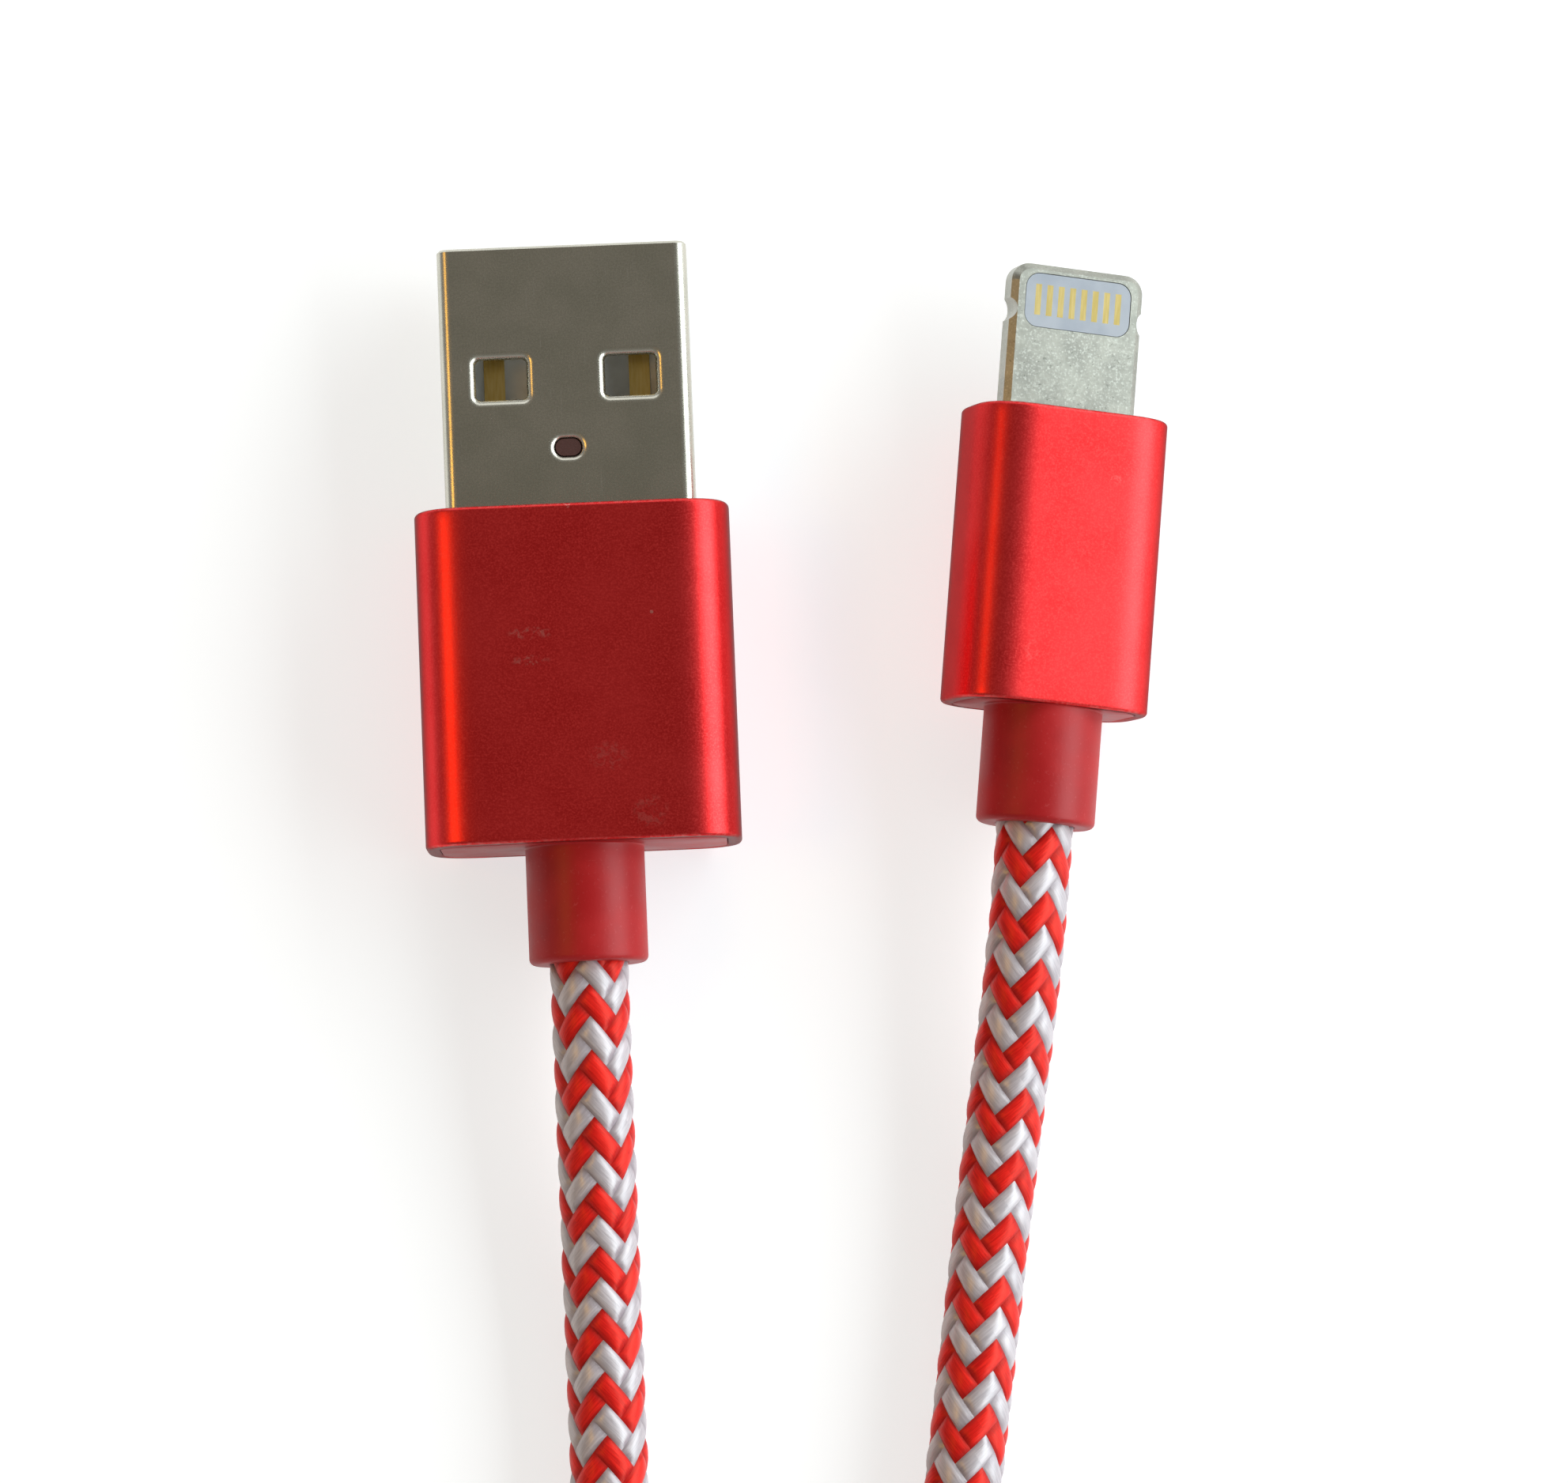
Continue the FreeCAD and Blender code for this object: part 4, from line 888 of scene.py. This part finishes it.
class Braid:
    """The braid's skin over a line: a lattice of cells, one where each two strands cross.

    Strand i of one set crosses strand j of the other at turn i + j and row j - i. The first set lies on top
    in two turns of every four. Two cells in line make the stretch in which a strand is seen. A lattice point
    is (p, q): p fine steps round the cable and q along it.
    """

    around = 2 * STRANDS * FINE_STEPS

    def __init__(self, line):
        self.line = line
        span = line.length - CHARGER_LAY_SHIFT - DEVICE_LAY_SHIFT
        self.rows = 4 * round(2 * STRANDS * span / BRAID_PITCH / 4)
        self.row_length = span / self.rows
        nearest = math.ceil(1 - CHARGER_LAY_SHIFT / self.row_length)
        farthest = math.floor(self.rows - 1 + DEVICE_LAY_SHIFT / self.row_length)
        turn, row = np.meshgrid(np.arange(2 * STRANDS), np.arange(nearest, farthest + 1), indexing="ij")
        crossing = (turn - row) % 2 == 0
        self.turn = turn[crossing]
        self.row = row[crossing]
        self.first_on_top = np.isin(self.turn % 4, (0, 1))
        self.second_half = np.isin(self.turn % 4, (1, 3)).astype(int)
        self.fine = self.near_a_plug() & self.facing_up()
        back = np.where(self.first_on_top, self.second_half, -self.second_half)
        self.uneven = 1 - BRAID_UNEVEN * scattered(self.turn - self.second_half, self.row - back)
        plus = (self.turn + self.row) // 2
        minus = (self.turn - self.row) // 2
        self.start = 4 * ((np.where(self.first_on_top, plus, minus) - back) // 4)
        self.strand = np.where(self.first_on_top, minus % STRANDS, plus % STRANDS + STRANDS)
        wanted = DEVICE_LAY_TURN - line.end_turn()
        quarters = round((CHARGER_LAY_TURN - wanted) / 90)
        self.added_turn = wanted + 90 * quarters - CHARGER_LAY_TURN

    def distance(self, row):
        """How far along the line a row lies."""
        return CHARGER_LAY_SHIFT + row * self.row_length

    def near_a_plug(self):
        """Which cells lie beside a plug."""
        along = self.distance(self.row)
        return (along < FINE_LENGTH) | (along > self.line.length - FINE_LENGTH)

    def facing_up(self):
        """Which cells face up or sideways near the plugs."""
        at_end = self.row > self.rows / 2
        lay_turn = np.where(at_end, DEVICE_LAY_TURN - self.line.end_turn(), CHARGER_LAY_TURN)
        stands = np.where(at_end, self.line.end_turn(), 0)
        angle = (self.turn + 1) * 180 / STRANDS + lay_turn + stands
        return np.cos(np.radians(angle)) > FINE_SIDE

    def key(self, p, q):
        """One number for each lattice point."""
        return (q + 4 * FINE_STEPS) * self.around + p % self.around

    def cell_faces(self, cells, jump):
        """The square faces of some cells: their cell, and the lattice points of their four corners."""
        places = np.arange(0, FINE_STEPS + 1, jump)
        a, b = np.meshgrid(places, places, indexing="ij")
        index = np.arange(a.size).reshape(a.shape)
        corners = [index[:-1, :-1], index[:-1, 1:], index[1:, 1:], index[1:, :-1]]
        corners = np.stack(corners, axis=-1).reshape(-1, 4)
        p = self.turn[cells, None] * FINE_STEPS + (a + b).ravel()
        q = self.row[cells, None] * FINE_STEPS + (b - a).ravel()
        return np.repeat(cells, len(corners)), p[:, corners].reshape(-1, 4), q[:, corners].reshape(-1, 4)

    def faces(self):
        """Every face as its cell and its lattice points, in groups with as many corners.

        A coarse face beside a fine cell gets that cell's points on its edges too, so the skin stays closed.
        """
        fine = self.cell_faces(np.flatnonzero(self.fine), 1)
        cells, p, q = self.cell_faces(np.flatnonzero(~self.fine), FINE_STEPS // COARSE_STEPS)
        middle_p = (p + np.roll(p, -1, axis=1)) // 2
        middle_q = (q + np.roll(q, -1, axis=1)) // 2
        shared = np.isin(self.key(middle_p, middle_q), np.unique(self.key(fine[1], fine[2])))
        plain = ~shared.any(axis=1)
        groups = [fine, (cells[plain], p[plain], q[plain])]
        for k in np.flatnonzero(~plain):
            points = []
            for corner in range(4):
                points.append((p[k, corner], q[k, corner]))
                if shared[k, corner]:
                    points.append((middle_p[k, corner], middle_q[k, corner]))
            points = np.array(points)
            groups.append((cells[k:k + 1], points[None, :, 0], points[None, :, 1]))
        return groups

    def in_cell(self, cells, p, q):
        """Where lattice points lie in their cell: across the strand on top and along it, 0 to 1."""
        turned = p / FINE_STEPS - self.turn[cells, None]
        ahead = q / FINE_STEPS - self.row[cells, None]
        a = (turned - ahead) / 2
        b = (turned + ahead) / 2
        first = self.first_on_top[cells, None]
        return np.where(first, a, b), np.where(first, b, a)

    def heights(self, cells, p, q):
        """How high the strand on top stands over the valleys, 0 to 1."""
        across, along = self.in_cell(cells, p, q)
        seen = (along + self.second_half[cells, None]) / 2
        return arch(across, *ARCH_ACROSS) * arch(seen, *ARCH_ALONG) * self.uneven[cells, None]

    def strand_map(self, cells, p, q):
        """For each corner, the cells along the strand on top, and its number with the share across it.

        A stretch in which a strand is seen goes from 4n to 4n + 2 cells.
        """
        across, along = self.in_cell(cells, p, q)
        u = self.start[cells, None] + along + self.second_half[cells, None]
        v = across + self.strand[cells, None]
        return np.stack([u, v], axis=-1).reshape(-1, 2)

    def place(self, p, q, height):
        """Where lattice points lie in space."""
        share = np.clip(self.distance(q / FINE_STEPS) / self.line.length, 0, 1)
        middle, side, up = self.line.at(share * self.line.length)
        turn = p * 180 / STRANDS / FINE_STEPS + CHARGER_LAY_TURN + self.added_turn * share
        angle = np.radians(turn)[:, None]
        radius = (CABLE_DIAMETER / 2 - BRAID_VALLEY * (1 - height))[:, None]
        return middle + radius * (np.cos(angle) * up + np.sin(angle) * side)

    def caps(self, faces, p, q):
        """A face over each end, through the points of the edges that belong to one face only."""
        counts = {}
        for face in faces:
            for a, b in zip(face, face[1:] + face[:1]):
                edge = (min(a, b), max(a, b))
                counts[edge] = counts.get(edge, 0) + 1
        open_points = np.unique([v for edge, count in counts.items() if count == 1 for v in edge])
        middle = self.rows * FINE_STEPS / 2
        near = open_points[q[open_points] < middle]
        far = open_points[q[open_points] > middle]
        return [near[np.argsort(p[near])].tolist(), far[np.argsort(-p[far])].tolist()]

    def make(self, name, paints):
        """The piece, with every second strand in the second paint."""
        groups = self.faces()
        keys = np.concatenate([self.key(p, q).ravel() for _, p, q in groups])
        all_p = np.concatenate([p.ravel() for _, p, _ in groups]) % self.around
        all_q = np.concatenate([q.ravel() for _, _, q in groups])
        heights = np.concatenate([self.heights(*group).ravel() for group in groups])
        _, first, order = np.unique(keys, return_index=True, return_inverse=True)
        cells = np.concatenate([cell for cell, _, _ in groups])
        sizes = np.concatenate([np.full(len(p), p.shape[1]) for _, p, _ in groups])
        starts = np.r_[0, np.cumsum(sizes)]
        faces = [order[starts[i]:starts[i + 1]].tolist() for i in range(len(sizes))]
        strand_map = np.concatenate([self.strand_map(*group) for group in groups])
        caps = self.caps(faces, all_p[first], all_q[first])
        vertices = self.place(all_p[first], all_q[first], heights[first])
        piece = new_piece(name, vertices, faces + caps, paints)
        mesh = piece.data
        colours = np.r_[self.strand[cells] % 2, np.zeros(len(caps), int)]
        mesh.polygons.foreach_set("material_index", colours)
        coordinates = np.zeros((len(mesh.loops), 2))
        coordinates[:len(strand_map)] = strand_map
        mesh.uv_layers.new(name="strand").data.foreach_set("uv", coordinates.ravel())
        low = heights[first] < TINY
        ends = np.zeros(2 * len(mesh.edges), int)
        mesh.edges.foreach_get("vertices", ends)
        mesh.edges.foreach_set("use_edge_sharp", low[ends.reshape(-1, 2)].all(axis=1))
        return piece


def make_cable():
    """The braided cable over its whole length, as one piece."""
    line = Line(smooth_line(cord_points()))
    braid = Braid(line).make("cable_braid", [yarn("red_yarn"), yarn("white_yarn")])
    cable_nodes = (
        "cable_charger_run",
        "cable_coil",
        "cable_device_run",
        "charger_plug_cable_end",
        "device_plug_cable_end",
    )
    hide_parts(*cable_nodes)


# The CAD's own pieces

def finish_nodes(steel):
    """Gives each piece that stays as the CAD has it its finish."""
    finishes = {
        "charger_plug_shell": steel,
        "charger_plug_insulator": plastic("charger_insulator", charger, [SHADE_UNDER_LOCK_HOLE]),
        "device_plug_tab": plated_tab(device),
        "device_plug_insulator": plastic("pocket_insulator", device),
        "device_plug_circuit_board": plastic("board", device),
        "device_plug_control_chip": plastic("chip", device),
        "device_plug_board_components": plastic("component", device),
    }
    charger_gold = gold(charger, *CHARGER_GOLD)
    for contact in ("power", "data_minus", "data_plus", "ground"):
        finishes["charger_plug_contact_" + contact] = charger_gold
    device_gold = gold(device, *DEVICE_GOLD)
    for side in ("front", "back"):
        finishes["device_plug_contacts_" + side] = device_gold
    for prefix, at in (("charger_plug_", charger), ("device_plug_", device)):
        finishes[prefix + "solder_joints"] = bare_metal("solder", at)
        finishes[prefix + "crimp_ring"] = bare_metal("crimp_metal", at)
        finishes[prefix + "inner_mould"] = plastic("inner_mould", at)
        for wire in ("wire_red", "wire_white", "wire_green", "wire_black"):
            finishes[prefix + wire] = plastic(wire, at)
    for node, material in finishes.items():
        nodes[node].data.materials.clear()
        nodes[node].data.materials.append(material)


# Floor, light and camera

def make_floor():
    """A pale floor that is white to the camera where nothing shades it."""
    half = FLOOR_HALF * MM
    mesh = bpy.data.meshes.new("floor")
    corners = [(-half, -half, 0), (half, -half, 0), (half, half, 0), (-half, half, 0)]
    mesh.from_pydata(corners, [], [(0, 1, 2, 3)])
    floor = bpy.data.objects.new("floor", mesh)
    scene.collection.objects.link(floor)
    material = bpy.data.materials.new("floor")
    material.use_nodes = True
    tree = material.node_tree
    tree.nodes.clear()
    matte = new_node(tree, "BsdfDiffuse", {"Color": FLOOR_COLOUR}).outputs[0]
    glow = new_node(tree, "Emission", {"Color": FLOOR_GLOW}).outputs[0]
    seen = new_node(tree, "AddShader", {0: matte, 1: glow}).outputs[0]
    bounce = new_node(tree, "BsdfDiffuse", {"Color": FLOOR_BOUNCE}).outputs[0]
    path = new_node(tree, "LightPath").outputs
    rays = path["Is Camera Ray"]
    for name in ("Is Glossy Ray", "Is Transmission Ray"):
        rays = new_node(tree, "Math", {0: rays, 1: path[name]}, operation="MAXIMUM").outputs[0]
    choice = new_node(tree, "MixShader", {0: rays, 1: bounce, 2: seen}).outputs[0]
    new_node(tree, "OutputMaterial", {"Surface": choice})
    mesh.materials.append(material)


def make_sky():
    """Soft light from all round: a dim warm ceiling, and a pale band at the horizon."""
    world = bpy.data.worlds.new("sky")
    scene.world = world
    world.use_nodes = True
    tree = world.node_tree
    direction = new_node(tree, "TexCoord").outputs["Generated"]
    height = new_node(tree, "SeparateXYZ", {0: direction}).outputs["Z"]
    ramp = new_node(tree, "ValToRGB", {0: height})
    elements = ramp.color_ramp.elements
    while len(elements) < len(SKY):
        elements.new(0.5)
    for element, (position, colour) in zip(elements, SKY):
        element.position = position
        element.color = (*colour, 1)
    fill(tree, tree.nodes["Background"].inputs["Color"], ramp.outputs["Color"])


def make_light(name, bearing, elevation, size, colour, radiance):
    """A soft rectangular light that faces the object."""
    data = bpy.data.lights.new(name, "AREA")
    data.shape = "RECTANGLE"
    data.size, data.size_y = size
    data.color = colour
    data.energy = radiance * math.pi * size[0] * size[1]
    light = bpy.data.objects.new(name, data)
    azimuth = math.radians(bearing)
    height = math.radians(elevation)
    flat = math.cos(height)
    away = Vector((flat * math.cos(azimuth), flat * math.sin(azimuth), math.sin(height)))
    light.location = AIM * MM + away * LIGHT_DISTANCE
    light.rotation_euler = away.to_track_quat("Z", "Y").to_euler()
    scene.collection.objects.link(light)


def make_camera():
    """A camera that looks down at the plugs, tilted a little."""
    data = bpy.data.cameras.new("camera")
    data.lens = LENS
    data.sensor_width = SENSOR
    data.clip_start = CLIP_START * MM
    camera = bpy.data.objects.new("camera", data)
    tilt = math.radians(90 - ELEVATION)
    away = Vector((0, -math.sin(tilt), math.cos(tilt)))
    camera.location = AIM * MM + away * DISTANCE * MM
    camera.rotation_euler = (tilt, 0, 0)
    scene.collection.objects.link(camera)
    scene.camera = camera


# Making everything

charger_red = anodised(charger, CHARGER_SLEEVE_LENGTH, CHARGER_MARKS, CHARGER_ROUGHNESS)
device_red = anodised(device, DEVICE_SLEEVE_LENGTH, DEVICE_MARKS, DEVICE_ROUGHNESS)
make_sleeve("charger_plug_", charger, CHARGER_SLEEVE_CORNER, charger_red)
make_sleeve("device_plug_", device, DEVICE_SLEEVE_CORNER, device_red)
make_relief("charger_plug_", charger, CHARGER_SLEEVE_CORNER, rubber(charger))
make_relief("device_plug_", device, DEVICE_SLEEVE_CORNER, rubber(device))
make_tie(webbing())
steel = plated_steel(charger)
make_rims(charger, steel)
make_cable()
finish_nodes(steel)
make_floor()
make_sky()
for name, light in LIGHTS.items():
    make_light(name, *light)
make_camera()
scene.view_settings.view_transform = "Standard"
